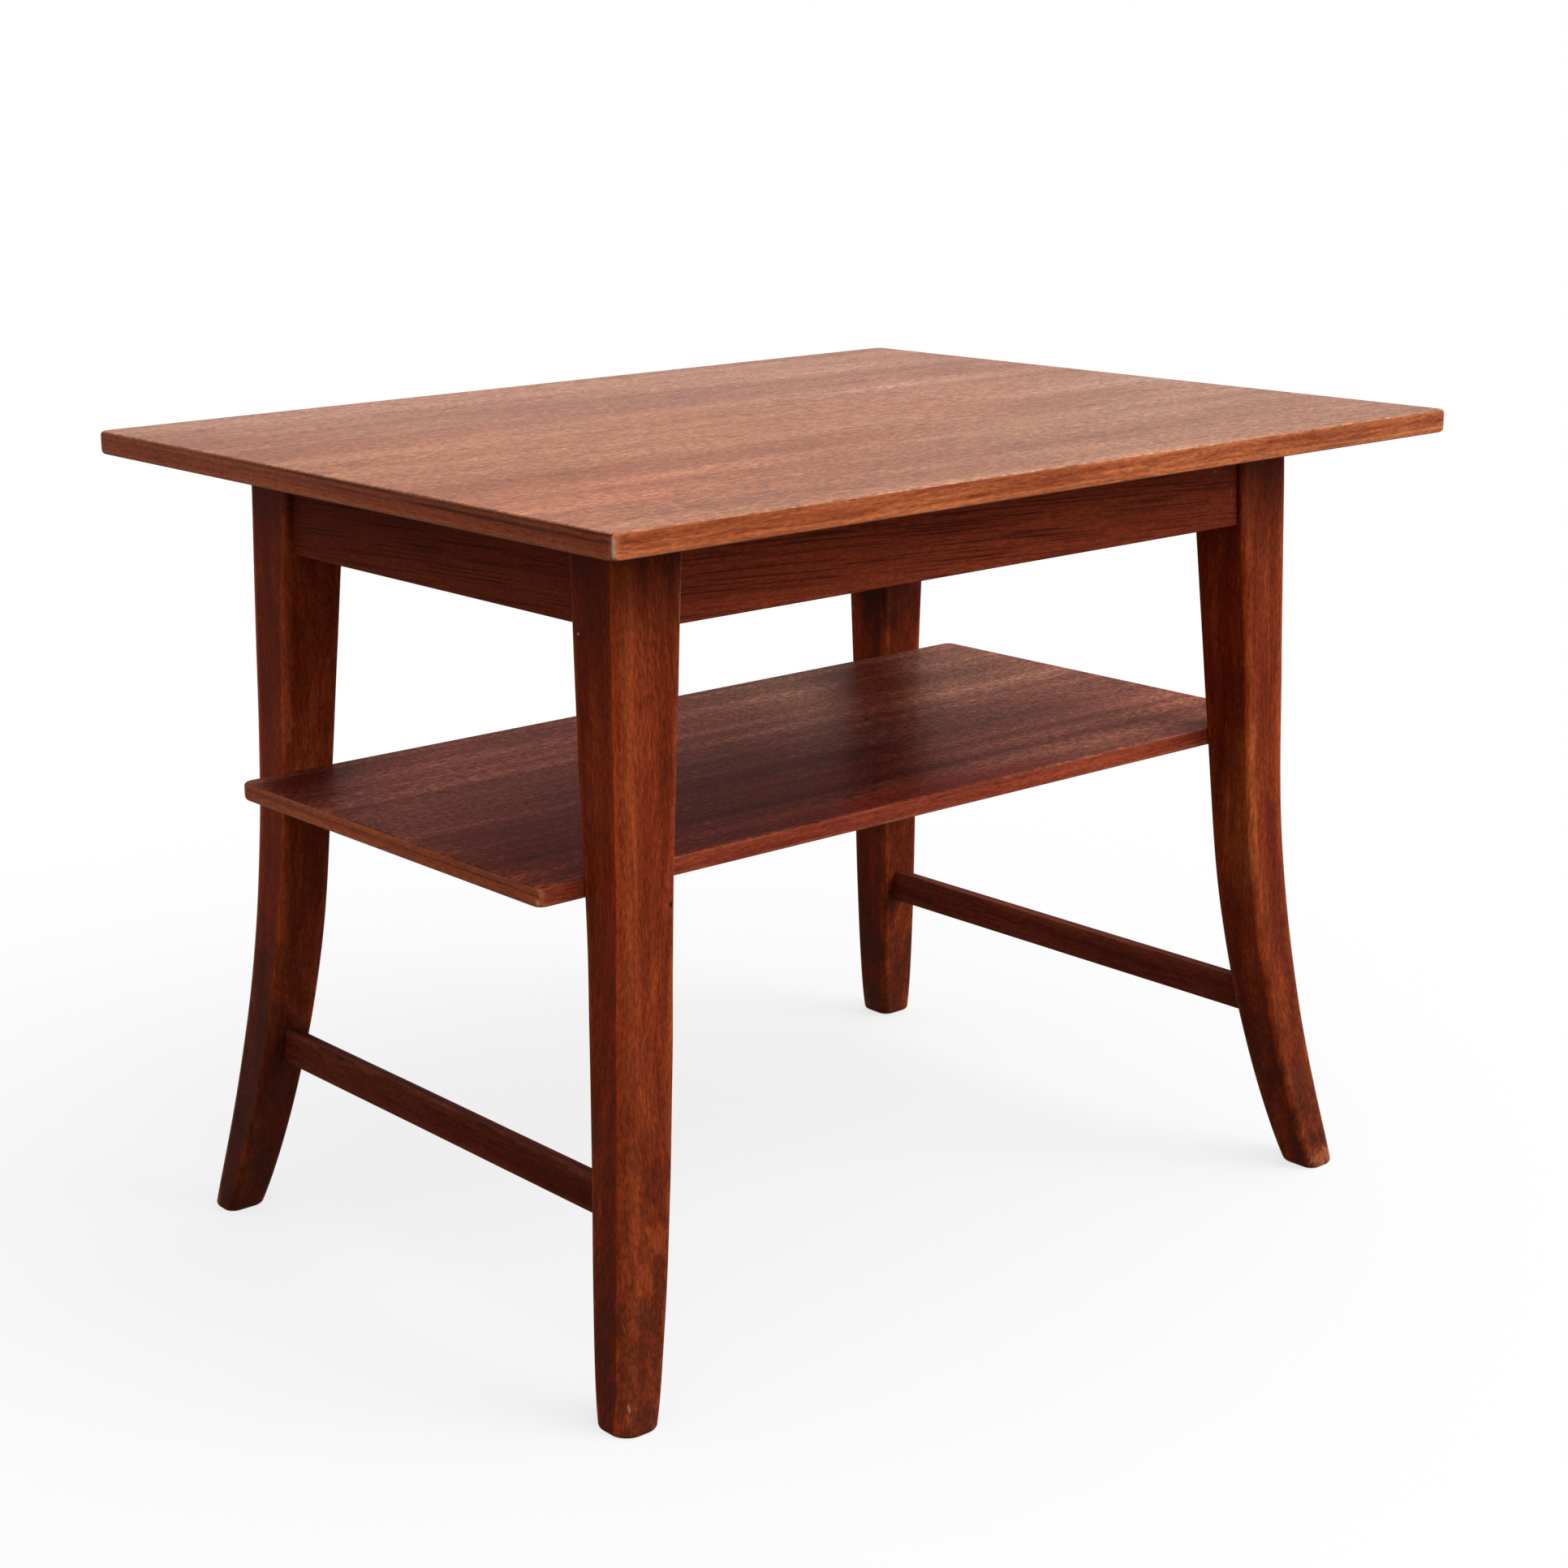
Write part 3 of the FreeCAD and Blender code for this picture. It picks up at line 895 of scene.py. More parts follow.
def painted_leg_reflection(x: float, y: float, length: float, width: float, gain: Triple) -> MarkOrPaintedLight:
    """A painted reflection of a back leg: a soft darker band across the shelf's face, slanting
    backwards to the right, in millimetres.
    """
    return MarkOrPaintedLight((x, y, SHELF_FACE), (length, width, 10.0), gain, strength=1.0, ragged=0.12, cloud=9.0,
                   turn=48.0, core=0.1, blend=Blend.GAIN)


# Marks on single pieces, and patches of painted light and shade, by the node that the piece
# stands for, in millimetres.
SHELF_FACE = 336.0
PALE_WEAR = tone(196, 158, 132)
SCRATCH = tone(140, 84, 58)
WORN_CORNER = MarkOrPaintedLight((-369.4, -289.4, 561.5), (1.6, 1.6, 9.5), PALE_WEAR, 0.8, 0.25)
MARKS_AND_PAINTED_LIGHT = {
    "top_lipping_front": (
        WORN_CORNER,
        MarkOrPaintedLight((-193.9, -290.0, 569.0), (4.0, 2.0, 1.2), tone(110, 50, 30)),
        MarkOrPaintedLight((-90.0, -290.0, 560.0), (14.0, 2.0, 1.2), tone(98, 38, 22), 0.7)),
    "top_lipping_left": (WORN_CORNER,),
    "shelf_face_veneer": (
        # redder strip along the front of the face: painted light reaching under the top
        MarkOrPaintedLight((0.0, -160.0, SHELF_FACE), (150.0, 26.0, 10.0), tone(128, 40, 22), 0.45, 0.5, 30.0),
        # painted reflections of the back legs: two of the back right leg, one of the back left leg
        painted_leg_reflection(185.0, 98.0, 340.0, 66.0, (0.38, 0.19, 0.16)),
        painted_leg_reflection(10.0, -100.0, 120.0, 62.0, (0.68, 0.57, 0.55)),
        painted_leg_reflection(-312.0, 140.0, 130.0, 50.0, (0.33, 0.21, 0.21))),
    "shelf_lipping_left": (MarkOrPaintedLight((-339.9, -170.0, 326.5), (2.5, 2.5, 2.5), PALE_WEAR, 0.6),),
    "apron_front": (
        MarkOrPaintedLight((230.4, -201.6, 531.0), (3.0, 2.0, 1.4), tone(170, 120, 84), 0.45),
        MarkOrPaintedLight((248.6, -201.6, 512.6), (0.8, 2.0, 6.0), tone(160, 110, 90), 0.35)),
    "leg_front_left": (
        MarkOrPaintedLight((-303.9, -169.0, 486.6), (1.2, 1.2, 1.2), tone(214, 190, 176), 0.9, 0.2),
        MarkOrPaintedLight((-270.5, -212.0, 320.9), (1.8, 1.8, 2.2), tone(44, 16, 10), 0.9),
        MarkOrPaintedLight((-299.0, -228.6, 114.9), (11.0, 8.0, 13.0), tone(164, 78, 35), 0.3, 1.0, 190.0),
        MarkOrPaintedLight((-310.0, -231.0, 93.0), (8.0, 8.0, 11.0), tone(150, 74, 34), 0.3, 1.4, 210.0),
        MarkOrPaintedLight((-317.2, -217.2, 160.0), (0.5, 3.0, 11.0), SCRATCH, 0.35),
        MarkOrPaintedLight((-318.6, -219.0, 137.0), (0.5, 3.0, 6.0), SCRATCH, 0.3),
        MarkOrPaintedLight((-329.0, -232.0, 66.0), (0.5, 3.0, 7.0), tone(146, 92, 66), 0.35),
        MarkOrPaintedLight((-334.9, -243.4, 19.6), (1.0, 2.0, 3.4), tone(176, 130, 104), 0.55)),
    "leg_front_right": (
        # paler inner left face at mid height: partly painted light
        MarkOrPaintedLight((269.0, -204.0, 270.0), (11.0, 23.0, 110.0), (2.0, 3.0, 3.0), 1.0, 0.2, 60.0, core=0.1,
                blend=Blend.GAIN),
        MarkOrPaintedLight((323.0, -244.0, 22.0), (19.0, 8.0, 7.5), tone(46, 20, 13), 0.4, 1.2, 220.0),
        MarkOrPaintedLight((330.0, -247.0, 7.5), (19.0, 9.0, 8.5), tone(160, 98, 66), 0.55, 1.3, 320.0)),
    "leg_back_left": (
        # pale strip down the front left arris: partly wear, partly a painted highlight
        MarkOrPaintedLight((-303.5, 166.5, 430.0), (6.0, 6.0, 55.0), tone(150, 62, 36), 0.45, 0.9, 120.0),
        MarkOrPaintedLight((-304.5, 169.0, 375.0), (7.0, 7.0, 22.0), tone(160, 72, 40), 0.50, 0.9, 150.0),
        MarkOrPaintedLight((-310.5, 180.0, 220.0), (6.0, 6.0, 50.0), tone(140, 58, 30), 0.40, 1.0, 120.0),
        MarkOrPaintedLight((-316.5, 187.0, 162.0), (6.0, 6.0, 28.0), tone(140, 60, 32), 0.35, 1.0, 140.0),
        # darker lower part and foot: partly painted shade
        MarkOrPaintedLight((-325.0, 205.0, 70.0), (70.0, 70.0, 170.0), tone(40, 15, 9), 0.65, 0.4, 60.0)),
    "leg_back_right": (
        # darker upper part of the leg: painted shade under the top
        MarkOrPaintedLight((260.0, 160.0, 490.0), (90.0, 90.0, 170.0), tone(32, 15, 13), 0.9, 0.3, 40.0),),
}


@dataclass(frozen=True)
class LegFace:
    """A long face of a leg: straight down from the top, then an arc that sweeps outwards."""

    top: float
    top_offset: float
    slope_degrees: float
    sweep_start: float
    sweep_radius: float

    def offset(self, height: Points) -> Points:
        """How far outwards the face lies.

        Above the sweep it is a straight line at the slope. Below, it is a circle tangent to that
        line where the sweep starts.

        Args:
            height: heights above the floor.

        Returns:
            Distances from the leg's outer face at the top.
        """
        slope = np.radians(self.slope_degrees)
        straight = self.top_offset + np.tan(slope) * (self.top - height)
        start = self.top_offset + np.tan(slope) * (self.top - self.sweep_start)
        below = self.sweep_start + self.sweep_radius * np.sin(slope) - height
        root = np.sqrt(np.maximum(self.sweep_radius ** 2 - below ** 2, 0))
        swept = start + self.sweep_radius * np.cos(slope) - root
        return np.where(height >= self.sweep_start, straight, swept)


@dataclass
class Legs:
    """The four sabre legs, swept outwards along X and Y at once.

    Slopes are in degrees. A sweep is the height where it starts and its radius. The sizes named for
    wear, band and joint say where the finish shows age, though the band is partly a painted highlight;
    the others say how the painted light on the arrises and on the left faces falls off.
    """

    top_width: float = 50.7 * MM
    outer_slope: float = 1.1
    outer_sweep: Pair = (324 * MM, 1770 * MM)
    inner_slope: float = 3.6
    inner_sweep: Pair = (262 * MM, 1350 * MM)
    outer_arris: float = 9.0 * MM
    arris: float = 4.0 * MM
    arris_swing: float = 0.12
    foot_height: float = 3.0 * MM
    foot_inset: float = 2.2 * MM
    foot_round: float = 4.0 * MM
    foot_reach: float = 18.0 * MM
    unevenness: float = 0.2 * MM
    outer_wear: float = 0.6
    arris_wear: float = 0.9
    wear_reach: float = 1.2 * MM
    band_reach: float = 3.5 * MM
    band_facing: Pair = (0.02, 0.14)
    band_level: float = 1.25
    band_fall: float = 0.35
    # how fast the painted light on an arris falls off as it turns to face along Y
    painted_arris_light_fall: float = 1.6
    # how far the painted light on the left face reaches round the arrises
    painted_left_face_light_reach: float = 2.0 * MM
    joint_depth: float = 62.0 * MM
    joint_turn: float = 0.45
    joint_width: float = 0.16
    open_jointed: LegPlace = LegPlace.FRONT_LEFT
    closed_joint: float = 0.15
    log_spread: Triple = (0.37, 0.21, 0.13)
    log_height: float = 0.5
    tilt: Pair = (1.0, 0.6)
    rings: int = 130
    foot_rings: int = 7
    arc_steps: int = 12
    side_shares: tuple[float, ...] = (0.02, 0.1, 0.3, 0.5, 0.7, 0.9, 0.98)

    def __post_init__(self) -> None:
        """Takes the height and the reach of the legs from the solid model."""
        low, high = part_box("leg_front_left")
        self.top = high.z
        self.outer = LegFace(self.top, 0.0, self.outer_slope, *self.outer_sweep)
        self.inner = LegFace(self.top, -self.top_width, self.inner_slope, *self.inner_sweep)
        swept = float(self.outer.offset(np.array(self.foot_height)))
        self.reach_x = -low.x - swept
        self.reach_y = -low.y - swept

    def corners(self, leg: LegPlace, height: Points, inset: Points) -> tuple[Points, Points]:
        """Corners of a leg's outlines before they are eased, and how round each one is.

        A corner lies on an outer or inner face along X and along Y, and wanders a little outwards and
        inwards. Its radius wanders too, and grows exponentially towards the floor.

        Args:
            leg: which leg.
            height: the height of each outline.
            inset: how far each outline is drawn in.

        Returns:
            Corners, shape (outlines, 4, 2), and radii, shape (outlines, 4).
        """
        x_sign, y_sign = leg.value
        face = {1: self.outer.offset(height) - inset, -1: self.inner.offset(height) + inset}
        corners = []
        radii = []
        for number, (x_way, y_way) in enumerate(CORNER_WAYS.tolist()):
            # Each corner of each leg draws two lines of its own.
            seed = 100 + 10 * x_sign + 3 * y_sign + 7 * number
            uneven = self.unevenness * wander(height, seed)
            x = x_sign * (self.reach_x + face[x_sign * x_way]) + x_way * uneven
            y = y_sign * (self.reach_y + face[y_sign * y_way]) + y_way * uneven
            corners.append(np.stack([x, y], axis=-1))
            eased = self.outer_arris if (x_way, y_way) == leg.value else self.arris
            swing = 1 + self.arris_swing * wander(height, seed + 3)
            radii.append(eased * swing + self.foot_round * np.exp(-height / self.foot_reach))
        return np.stack(corners, axis=1), np.stack(radii, axis=1)

    def outlines(self, leg: LegPlace) -> tuple[Points, Marks]:
        """Outlines of a leg from the top down to the foot.

        At each height the outline is a square between the outer and inner faces along both X and Y,
        with eased corners, the outermost one the roundest. The last outlines follow a quarter ellipse
        inwards round the edge of the foot.

        Args:
            leg: which leg.

        Returns:
            Points, shape (outlines, points, 3), and the marks for the finish.
        """
        upright = np.linspace(self.top, self.foot_height, self.rings)
        turn = np.linspace(0, np.pi / 2, self.foot_rings)[1:]
        height = np.concatenate([upright, self.foot_height * (1 - np.sin(turn)), [0.0]])
        inset = np.concatenate([0 * upright, self.foot_inset * (1 - np.cos(turn)), [2 * self.foot_inset]])
        corners, radii = self.corners(leg, height, inset)
        outline = eased_outline(corners, radii, self.arc_steps, np.array(self.side_shares))
        outermost = CORNER_WAYS.tolist().index(list(leg.value))
        marks = self.worn(outline, arc_centres(corners, radii), radii, outermost)
        strength = 1.0 if leg is self.open_jointed else self.closed_joint
        jointed = strength * (height > self.top - self.joint_depth)
        marks["joint"] = jointed[:, None] * self.seams(outermost)
        return raised(outline, height), marks

    def worn(self, outline: Points, centres: Points, radii: Points, outermost: int) -> Marks:
        """Where a leg is rubbed, and where light is painted on it.

        An arris faces along Y by the sine of the turn round it. The band on the outermost arris, partly
        wear and partly a painted highlight, is level on the part that faces that way most and stops where
        the arris turns to the side. The painted light on the shaded side of an arris is strongest there,
        on the front arrises and the outermost one. The painted light on the left face falls off as a bell
        from the left edge.

        Args:
            outline: points, shape (outlines, points, 2).
            centres: arc centres, shape (outlines, 4, 2).
            radii: arc radii, shape (outlines, 4).
            outermost: the number of the outermost corner.

        Returns:
            Values from 0 to 1 per point: arris, outermost, the painted light on the arrises and the
                painted
            light on the left face.
        """
        number = np.arange(4)
        ahead = (outline[..., 1, None] - centres[:, None, :, 1]) * CORNER_WAYS[:, 1]
        facing = np.clip(ahead / radii[:, None], 0, 1)
        start, full = self.band_facing
        broad = nearness(outline, centres, radii, self.band_reach)
        broad = broad * np.clip((facing - start) / (full - start), 0, 1)
        band = broad * np.clip(self.band_level - self.band_fall * facing, 0, 1)
        # the front arrises and the outermost one, which get painted light on their shaded side
        handled = (CORNER_WAYS[:, 1] < 0) | (number == outermost)
        lift = handled * broad * (1 - facing) / (1 + self.painted_arris_light_fall * facing)
        near = nearness(outline, centres, radii, self.wear_reach)
        weights = np.where(number == outermost, self.outer_wear, self.arris_wear)
        left = outline[..., 0] - outline[..., 0].min(axis=1, keepdims=True)
        return {"arris": np.max(near * weights, axis=-1), "outermost": band[..., outermost],
                "lift": np.max(lift, axis=-1), "flank": bell(left, self.painted_left_face_light_reach)}

    def seams(self, outermost: int) -> Points:
        """The pale lines beside the aprons: a bell part of the way round the arrises that meet them.

        Args:
            outermost: the number of the outermost corner; the aprons meet the corners next to it.

        Returns:
            Values from 0 to 1 for the points of one outline.
        """
        turn = np.linspace(0, 1, self.arc_steps + 1)
        ridge = bell(turn - self.joint_turn, self.joint_width)
        ridge = np.concatenate([ridge, np.zeros(len(self.side_shares))])
        beside = np.arange(4) % 2 != outermost % 2
        return (beside[:, None] * ridge).ravel()

    def build(self) -> None:
        """Makes and dresses the four legs."""
        across, deep, twist = self.log_spread
        for leg in LegPlace:
            x_sign, y_sign = leg.value
            node = "leg_" + leg.name.lower()
            shift = (across * x_sign, deep * y_sign, self.log_height + twist * x_sign * y_sign)
            tilt = (self.tilt[0] * x_sign, self.tilt[1])
            finish = LEG_WOOD.material(node, Grain.UPRIGHT, shift, tilt)
            add_piece(node, *self.outlines(leg), "leg", finish)


@dataclass
class Rail:
    """A bar between two legs, with shoulders that follow their inner faces."""

    node: str
    side: Side
    legs: Legs
    slot: str
    wood: WoodFinish
    upper_arris: float
    lower_arris: float
    tilt: Pair
    seat: float = 0.4 * MM
    wear_reach: float = 1.6 * MM
    unevenness: float = 0.12 * MM
    seed: int = 41
    stations: int = 160
    arc_steps: int = 6
    side_shares: tuple[float, ...] = (0.03, 0.2, 0.5, 0.8, 0.97)

    def outlines(self) -> tuple[Points, Marks]:
        """Cross sections from one end to the other.

        A section is a rectangle with eased corners. A point of it lies along the rail by its share of
        the half length at its own height, so both ends lie against the leaning faces of the legs.

        Returns:
            Points, shape (sections, points, 3), and the marks for the finish.
        """
        bottom, top = (corner.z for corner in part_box(self.node))
        outer, thickness = self.side.across(self.node)
        inner = outer - thickness
        corners = np.array([(outer, top), (inner, top), (inner, bottom), (outer, bottom)])
        radii = np.array([self.upper_arris, self.upper_arris, self.lower_arris, self.lower_arris])
        section = eased_outline(corners, radii, self.arc_steps, np.array(self.side_shares))
        near = nearness(section, arc_centres(corners, radii), radii, self.wear_reach).max(axis=-1)
        outward, height = section[:, 0], section[:, 1]
        span = self.legs.reach_x if self.side.is_long else self.legs.reach_y
        half = span + self.legs.inner.offset(height) + self.seat
        along = np.linspace(-1, 1, self.stations)[:, None] * half
        worn = self.unevenness * wander(along, self.seed + len(self.node)) * near
        return self.side.place(along, outward + worn, height), {"arris": near}

    def build(self, shift: Triple) -> None:
        """Makes and dresses the rail.

        Args:
            shift: where in the log it was cut.
        """
        finish = self.wood.material(self.node, Grain.along(self.side), shift, self.tilt)
        add_piece(self.node, *self.outlines(), self.slot, finish)


@dataclass
class Underframe:
    """Aprons under the top and stretchers low down, between the legs."""

    legs: Legs
    arris: float = 1.5 * MM
    covered_arris: float = 0.2 * MM
    apron_tilt: Pair = (-2.7, 0.1)
    stretcher_tilt: Pair = (0.8, 0.1)
    apron_log: Log = Log((0.9, 0.3, 0.2), (0.4, 0.0, 0.05))
    stretcher_log: Log = Log((2.1, 0.5, 0.7), (0.4, 0.0, 0.0))

    def build(self) -> None:
        """Makes and dresses the rails."""
        for number, side in enumerate(Side):
            apron = Rail("apron_" + side.value, side, self.legs, "apron", APRON_WOOD,
                         self.covered_arris, self.arris, self.apron_tilt)
            apron.build(self.apron_log.cut(number))
        for number, side in enumerate((Side.LEFT, Side.RIGHT)):
            stretcher = Rail("stretcher_" + side.value, side, self.legs, "stretcher", STRETCHER_WOOD,
                             self.arris, self.arris, self.stretcher_tilt)
            stretcher.build(self.stretcher_log.cut(number))


@dataclass
class Board:
    """A veneered board with solid lippings round its core: the top or the shelf."""

    name: str
    face: WoodFinish
    long_edge: WoodFinish
    end_edge: WoodFinish
    corner: float = 2.5 * MM
    knock: float = 4.0 * MM
    knock_depth: float = 3.2 * MM
    arris: float = 1.2 * MM
    lipping: float = 8.0 * MM
    least_corner: float = 0.3 * MM
    corner_share: float = 0.6
    flat_insets: tuple[float, ...] = (0.3 * MM, 1.2 * MM, 3.0 * MM, 8.0 * MM)
    face_wear: float = 1.5 * MM
    edge_wear: float = 1.8 * MM
    corner_wear: float = 1.0 * MM
    face_tilt: Pair = (0.0, 0.4)
    backing_tilt: Pair = (0.0, -0.4)
    lipping_tilt: Pair = (0.9, 0.1)
    lipping_step: Triple = (0.3, -0.07, 0.11)
    arc_steps: int = 10
    arris_steps: int = 6
    knock_steps: int = 6
    plain_steps: int = 4
    side_steps: int = 240

    def __post_init__(self) -> None:
        """Takes the board's size and layers from the solid model."""
        low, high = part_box(self.name + "_face_veneer")
        self.half_length, self.half_width = high.x, high.y
        self.face_bottom, self.top = low.z, high.z
        low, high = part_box(self.name + "_backing_veneer")
        self.bottom, self.backing_top = low.z, high.z

    def setback(self, height: Points) -> Points:
        """How far the edge draws in at a height: a quarter circle at the upper and the lower arris."""
        into = np.clip(np.maximum(height - self.top, self.bottom - height) + self.arris, 0, self.arris)
        return self.arris - np.sqrt(self.arris ** 2 - into ** 2)

    def corner_radius(self, height: Points) -> Points:
        """How round the corners are at a height: by a parabola rounder towards both faces."""
        depth = np.minimum(self.top - height, height - self.bottom)
        return self.corner + self.knock * np.clip(1 - depth / self.knock_depth, 0, 1) ** 2

    def plan(self, inset: Points, height: Points) -> Points:
        """Outlines of the board seen from above, drawn in by an inset all round.

        Args:
            inset: how far each outline is drawn in.
            height: the height of each outline.

        Returns:
            Points, shape (outlines, points, 2).
        """
        halves = np.stack([self.half_length - inset, self.half_width - inset], axis=-1)
        corners = halves[:, None, :] * CORNER_WAYS
        radius = np.maximum(self.corner_radius(height) - self.corner_share * inset, self.least_corner)
        shares = np.linspace(0, 1, self.side_steps + 2)[1:-1]
        return eased_outline(corners, radius[:, None] * np.ones(4), self.arc_steps, shares)

    def veneer(self, inner: float, outer: float) -> tuple[Points, Marks]:
        """Outlines of a veneer, from the face against the core to the open face.

        Args:
            inner: the height of the face against the core.
            outer: the height of the open face.

        Returns:
            Points, shape (outlines, points, 3), and the marks for the finish.
        """
        turn = np.linspace(0, np.pi / 2, self.arris_steps)
        edge = inner + (outer - inner) * np.sin(turn)
        flat = self.arris + np.array(self.flat_insets)
        inset = np.concatenate([self.setback(edge), flat])
        height = np.concatenate([edge, np.full(len(flat), outer)])
        near = bell(np.maximum(inset - self.arris, 0), self.face_wear)
        return raised(self.plan(inset, height), height), {"arris": near[:, None]}

    def strip_heights(self) -> Points:
        """Heights of a lipping's points from the face down, closest where the corners are knocked."""
        upper, lower = self.top - self.knock_depth, self.bottom + self.knock_depth
        return np.concatenate([np.linspace(self.face_bottom, upper, self.knock_steps),
                               np.linspace(upper, lower, self.plain_steps)[1:-1],
                               np.linspace(lower, self.backing_top, self.knock_steps)])

    def strip(self, side: Side) -> tuple[Points, Marks]:
        """Cross sections of a lipping from mitre to mitre.

        Its outer face follows the board's outline from the middle of one eased corner to the middle of
        the next. Its inner face is straight, and both ends lie in the mitre.

        Args:
            side: the side that it edges.

        Returns:
            Points, shape (sections, points, 3), and the marks for the finish.
        """
        half_span, reach = self.half_length, self.half_width
        if not side.is_long:
            half_span, reach = reach, half_span
        height = self.strip_heights()
        radius = self.corner_radius(height)
        angle = np.linspace(np.pi / 4, 0, self.arc_steps)[:, None]
        curve_along = half_span - radius + radius * np.sin(angle)
        curve_out = reach - radius + radius * np.cos(angle)
        run = np.linspace(1, -1, self.side_steps)[1:-1, None] * curve_along[-1]
        along = np.concatenate([curve_along, run, -curve_along[::-1]])
        out = np.concatenate([curve_out, np.full_like(run, reach), curve_out[::-1]])
        slant = np.concatenate([np.sin(angle), 0 * run[:, :1], -np.sin(angle[::-1])])
        draw = self.setback(height)
        middle = len(height) // 2
        inner_span = half_span - self.lipping
        back_along = np.clip(along[:, [middle, middle]], -inner_span, inner_span)
        back_out = np.full_like(back_along, reach - self.lipping)
        section_along = np.concatenate([along - draw * slant, back_along], axis=1)
        section_out = np.concatenate([out - draw * np.sqrt(1 - slant ** 2), back_out], axis=1)
        section_height = np.concatenate([height, [self.backing_top, self.face_bottom]])
        edge_near = bell(self.top - height, self.edge_wear) + bell(height - self.bottom, self.edge_wear)
        past = np.maximum(curve_along[-1] - np.abs(along), 0)
        near = np.maximum(edge_near, np.exp(-past / self.corner_wear))
        marks = {"arris": np.concatenate([near, 0 * back_along], axis=1)}
        return side.place(section_along, section_out, section_height), marks

    def build(self, shift: Triple) -> None:
        """Makes and dresses the veneers and lippings, and dresses the core.

        Args:
            shift: where in the log its veneers were cut.
        """
        node = self.name + "_face_veneer"
        finish = self.face.material(node, Grain.LENGTHWISE, shift, self.face_tilt)
        add_piece(node, *self.veneer(self.face_bottom, self.top), self.name + "_veneer", finish)
        node = self.name + "_backing_veneer"
        finish = BACKING.material(node, Grain.LENGTHWISE, shift, self.backing_tilt)
        add_piece(node, *self.veneer(self.backing_top, self.bottom), "backing", finish)
        lipping_log = Log(shift, self.lipping_step)
        for number, side in enumerate(Side):
            wood = self.long_edge if side.is_long else self.end_edge
            node = f"{self.name}_lipping_{side.value}"
            finish = wood.material(node, Grain.along(side), lipping_log.cut(number), self.lipping_tilt)
            add_piece(node, *self.strip(side), self.name + "_edge", finish)
        node = self.name + "_core"
        dress_node(node, CORE_WOOD.material(node, Grain.LENGTHWISE, shift))


@dataclass
class Fixings:
    """Glued blocks behind the aprons, the screws up into the top, and the shelf's dowels."""

    chamfer: float = 4.0 * MM
    edge: float = 0.5 * MM
    edge_segments: int = 2
    sections: int = 9
    block_tilt: Pair = (0.5, 0.3)
    block_log: Log = Log((3.0, 0.1, 0.4), (0.3, 0.0, 0.0))
    dowel_cut: Triple = (4.0, 0.2, 0.3)

    def block(self, node: str, side: Side) -> Points:
        """Cross sections of a block: a square with its free lower arris cut off, along the apron.

        Args:
            node: the node that it stands for.
            side: the side whose apron carries it.

        Returns:
            Points, shape (sections, points, 3).
        """
        low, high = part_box(node)
        back, thickness = side.across(node)
        front = back - thickness
        cut = self.chamfer
        outward = np.array([back, back, front, front, front + cut])
        height = np.array([low.z, high.z, high.z, low.z + cut, low.z])
        axis = 0 if side.is_long else 1
        along = np.linspace(low[axis], high[axis], self.sections)[:, None]
        return side.place(along, outward, height)

    def build(self) -> None:
        """Makes and dresses the blocks, and dresses the screws and dowels."""
        for number, side in enumerate(Side):
            node = "fixing_block_" + side.value
            cut = self.block_log.cut(number)
            finish = BLOCK_WOOD.material(node, Grain.along(side), cut, self.block_tilt)
            block = add_piece(node, self.block(node, side), {}, "block", finish)
            bevel = block.modifiers.new("eased", "BEVEL")
            bevel.width = self.edge
            bevel.segments = self.edge_segments
            bevel.limit_method = "ANGLE"
        for side in (Side.FRONT, Side.BACK):
            node = "shelf_dowels_" + side.value
            dress_node(node, BLOCK_WOOD.material(node, Grain.CROSSWISE, self.dowel_cut))
        dress_node("block_to_top_screws", SCREW_STEEL.material("screw_steel"))


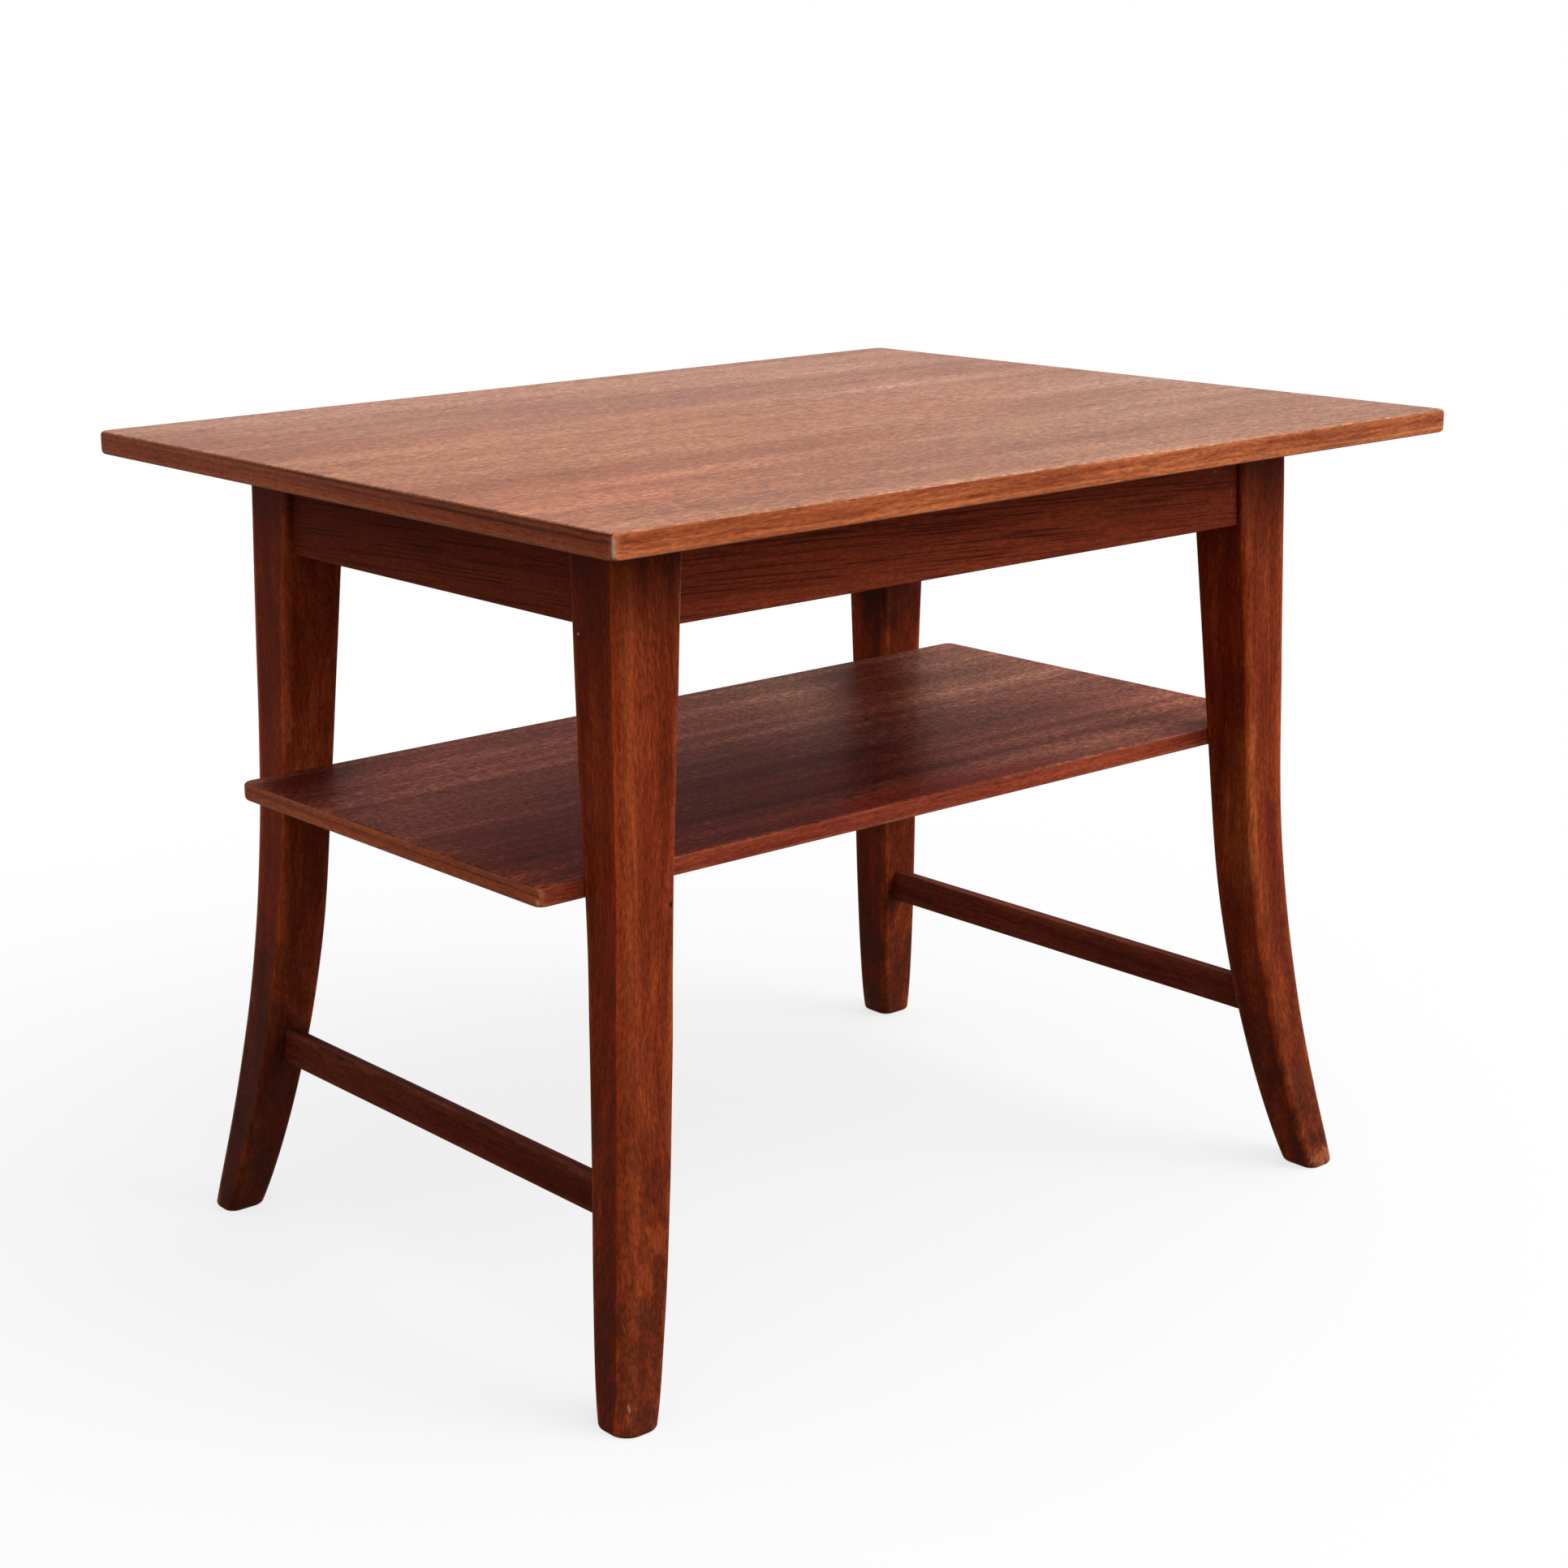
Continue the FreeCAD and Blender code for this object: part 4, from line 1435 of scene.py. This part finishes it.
@dataclass
class Studio:
    """Camera, soft light and a plain pale floor."""

    frame_pixels: float = 1932.0
    focal_pixels: float = 3528.2
    axis_pixel_x: float = 850.0
    yaw_degrees: float = 39.2306
    pitch_degrees: float = 14.7517
    roll_degrees: float = 0.7718
    camera_place: Triple = (-1.31117, -1.50603, 0.83365)
    sensor: float = 36.0
    clip: Pair = (0.05, 100.0)
    ambient: float = 0.53
    glow: float = 1.08
    glow_from: Triple = (0.46, -0.74, 0.49)
    key_from: Triple = (1.6, -2.6, 1.9)
    key_lift: float = 0.3
    key_size: float = 2.6
    key_watts: float = 60.0
    floor_tone: Triple = tone(236, 236, 236)
    floor_bounce: Triple = tone(60, 56, 54)
    floor_reach: float = 14.0
    shadow_between: Pair = (0.3, 1.3)
    least_white: float = 0.72

    def hang(self, data: bpy.types.ID, axes: tuple[Points, Points, Points], place: Triple) -> Piece:
        """Puts a camera or lamp into the scene.

        Args:
            data: the camera or lamp.
            axes: the ways that its own X, Y and Z point.
            place: where it is.

        Returns:
            The new object.
        """
        turn = np.eye(4)
        turn[:3] = np.stack([*axes, place], axis=1)
        held = bpy.data.objects.new(data.name, data)
        held.matrix_world = Matrix(turn.tolist())
        bpy.context.scene.collection.objects.link(held)
        return held

    def camera(self) -> None:
        """Places the camera at the photograph's viewing angle.

        It looks along its yaw from +Y and down by its pitch, and rolls about that line. The optical
        axis meets the picture left of its middle, which the lens shift gives.
        """
        yaw, pitch, roll = np.radians([self.yaw_degrees, self.pitch_degrees, self.roll_degrees])
        ahead = np.array([np.sin(yaw) * np.cos(pitch), np.cos(yaw) * np.cos(pitch), -np.sin(pitch)])
        level = np.array([np.cos(yaw), -np.sin(yaw), 0.0])
        down = np.cross(ahead, level)
        right = np.cos(roll) * level + np.sin(roll) * down
        below = np.cos(roll) * down - np.sin(roll) * level
        lens = bpy.data.cameras.new("camera")
        lens.sensor_width = self.sensor
        lens.lens = self.focal_pixels / self.frame_pixels * self.sensor
        lens.shift_x = 0.5 - self.axis_pixel_x / self.frame_pixels
        lens.clip_start, lens.clip_end = self.clip
        bpy.context.scene.camera = self.hang(lens, (right, -below, -ahead), self.camera_place)

    def lights(self) -> None:
        """Hangs one large soft lamp in front, to the right and above."""
        lamp = bpy.data.lights.new("key", "AREA")
        lamp.shape = "DISK"
        lamp.size = self.key_size
        lamp.energy = self.key_watts
        back = np.array(self.key_from) / np.linalg.norm(self.key_from)
        side = np.cross([0.0, 0.0, 1.0], back)
        side /= np.linalg.norm(side)
        x, y, z = self.key_from
        self.hang(lamp, (side, np.cross(back, side), back), (x, y, z + self.key_lift))

    def seen(self, recipe: Recipe) -> Socket:
        """Tells the rays that show the background as it is: from the camera, or by gloss or glass.

        Args:
            recipe: the nodes of the floor or the world.

        Returns:
            1 for such a ray, else 0.
        """
        path = recipe.add("ShaderNodeLightPath").outputs
        shine = recipe.math("MAXIMUM", path["Is Glossy Ray"], path["Is Transmission Ray"])
        return recipe.math("MAXIMUM", path["Is Camera Ray"], shine)

    def world(self) -> None:
        """A white background over a soft light that is strongest in front, to the right and above."""
        world = bpy.data.worlds.new("studio")
        recipe = Recipe(world)
        way = recipe.add("ShaderNodeTexCoord").outputs["Generated"]
        lobe = recipe.times(recipe.math("MAXIMUM", recipe.along(way, self.glow_from), 0.0), self.glow)
        light = recipe.math("ADD", lobe, self.ambient)
        soft = recipe.add("ShaderNodeBackground", {"Color": WHITE, "Strength": light})
        white = recipe.add("ShaderNodeBackground", {"Color": WHITE, "Strength": 1.0})
        mixed = recipe.add("ShaderNodeMixShader",
                           {0: self.seen(recipe), 1: soft.outputs[0], 2: white.outputs[0]})
        recipe.add("ShaderNodeOutputWorld", {"Surface": mixed.outputs[0]})
        bpy.context.scene.world = world

    def floor(self) -> None:
        """Lays a pale floor that fades to the white background and keeps the table's shadow."""
        corners = np.pad(self.floor_reach * CORNER_WAYS, ((0, 0), (0, 1)))
        mesh = bpy.data.meshes.new("floor")
        mesh.from_pydata(corners.tolist(), [], [(0, 1, 2, 3)])
        floor = bpy.data.objects.new("floor", mesh)
        bpy.context.scene.collection.objects.link(floor)
        recipe = Recipe(bpy.data.materials.new("floor"))
        fade = recipe.ease(recipe.distance(recipe.place()), *self.shadow_between, self.least_white, 1.0)
        pale = recipe.add("ShaderNodeBsdfDiffuse", {"Color": self.floor_tone})
        white = recipe.add("ShaderNodeEmission", {"Color": WHITE, "Strength": 1.0})
        shown = recipe.add("ShaderNodeMixShader", {0: fade, 1: pale.outputs[0], 2: white.outputs[0]})
        bounce = recipe.add("ShaderNodeBsdfDiffuse", {"Color": self.floor_bounce})
        mixed = recipe.add("ShaderNodeMixShader",
                           {0: self.seen(recipe), 1: bounce.outputs[0], 2: shown.outputs[0]})
        recipe.add("ShaderNodeOutputMaterial", {"Surface": mixed.outputs[0]})
        mesh.materials.append(recipe.owner)

    def build(self) -> None:
        """Sets up the whole studio."""
        bpy.context.scene.view_settings.view_transform = "Standard"
        self.camera()
        self.lights()
        self.world()
        self.floor()


def main() -> None:
    """Builds the table piece by piece, then the studio."""
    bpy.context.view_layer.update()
    legs = Legs()
    legs.build()
    Underframe(legs).build()
    Board("top", TOP_VENEER, TOP_EDGE, TOP_END_EDGE).build(shift=(0.4, 0.2, 0.1))
    Board("shelf", SHELF_VENEER, SHELF_EDGE, SHELF_END_EDGE).build(shift=(1.7, 0.9, 0.6))
    Fixings().build()
    Studio().build()


if __name__ == "__main__":
    logging.basicConfig(level=logging.INFO, format="%(name)s %(message)s")
    main()
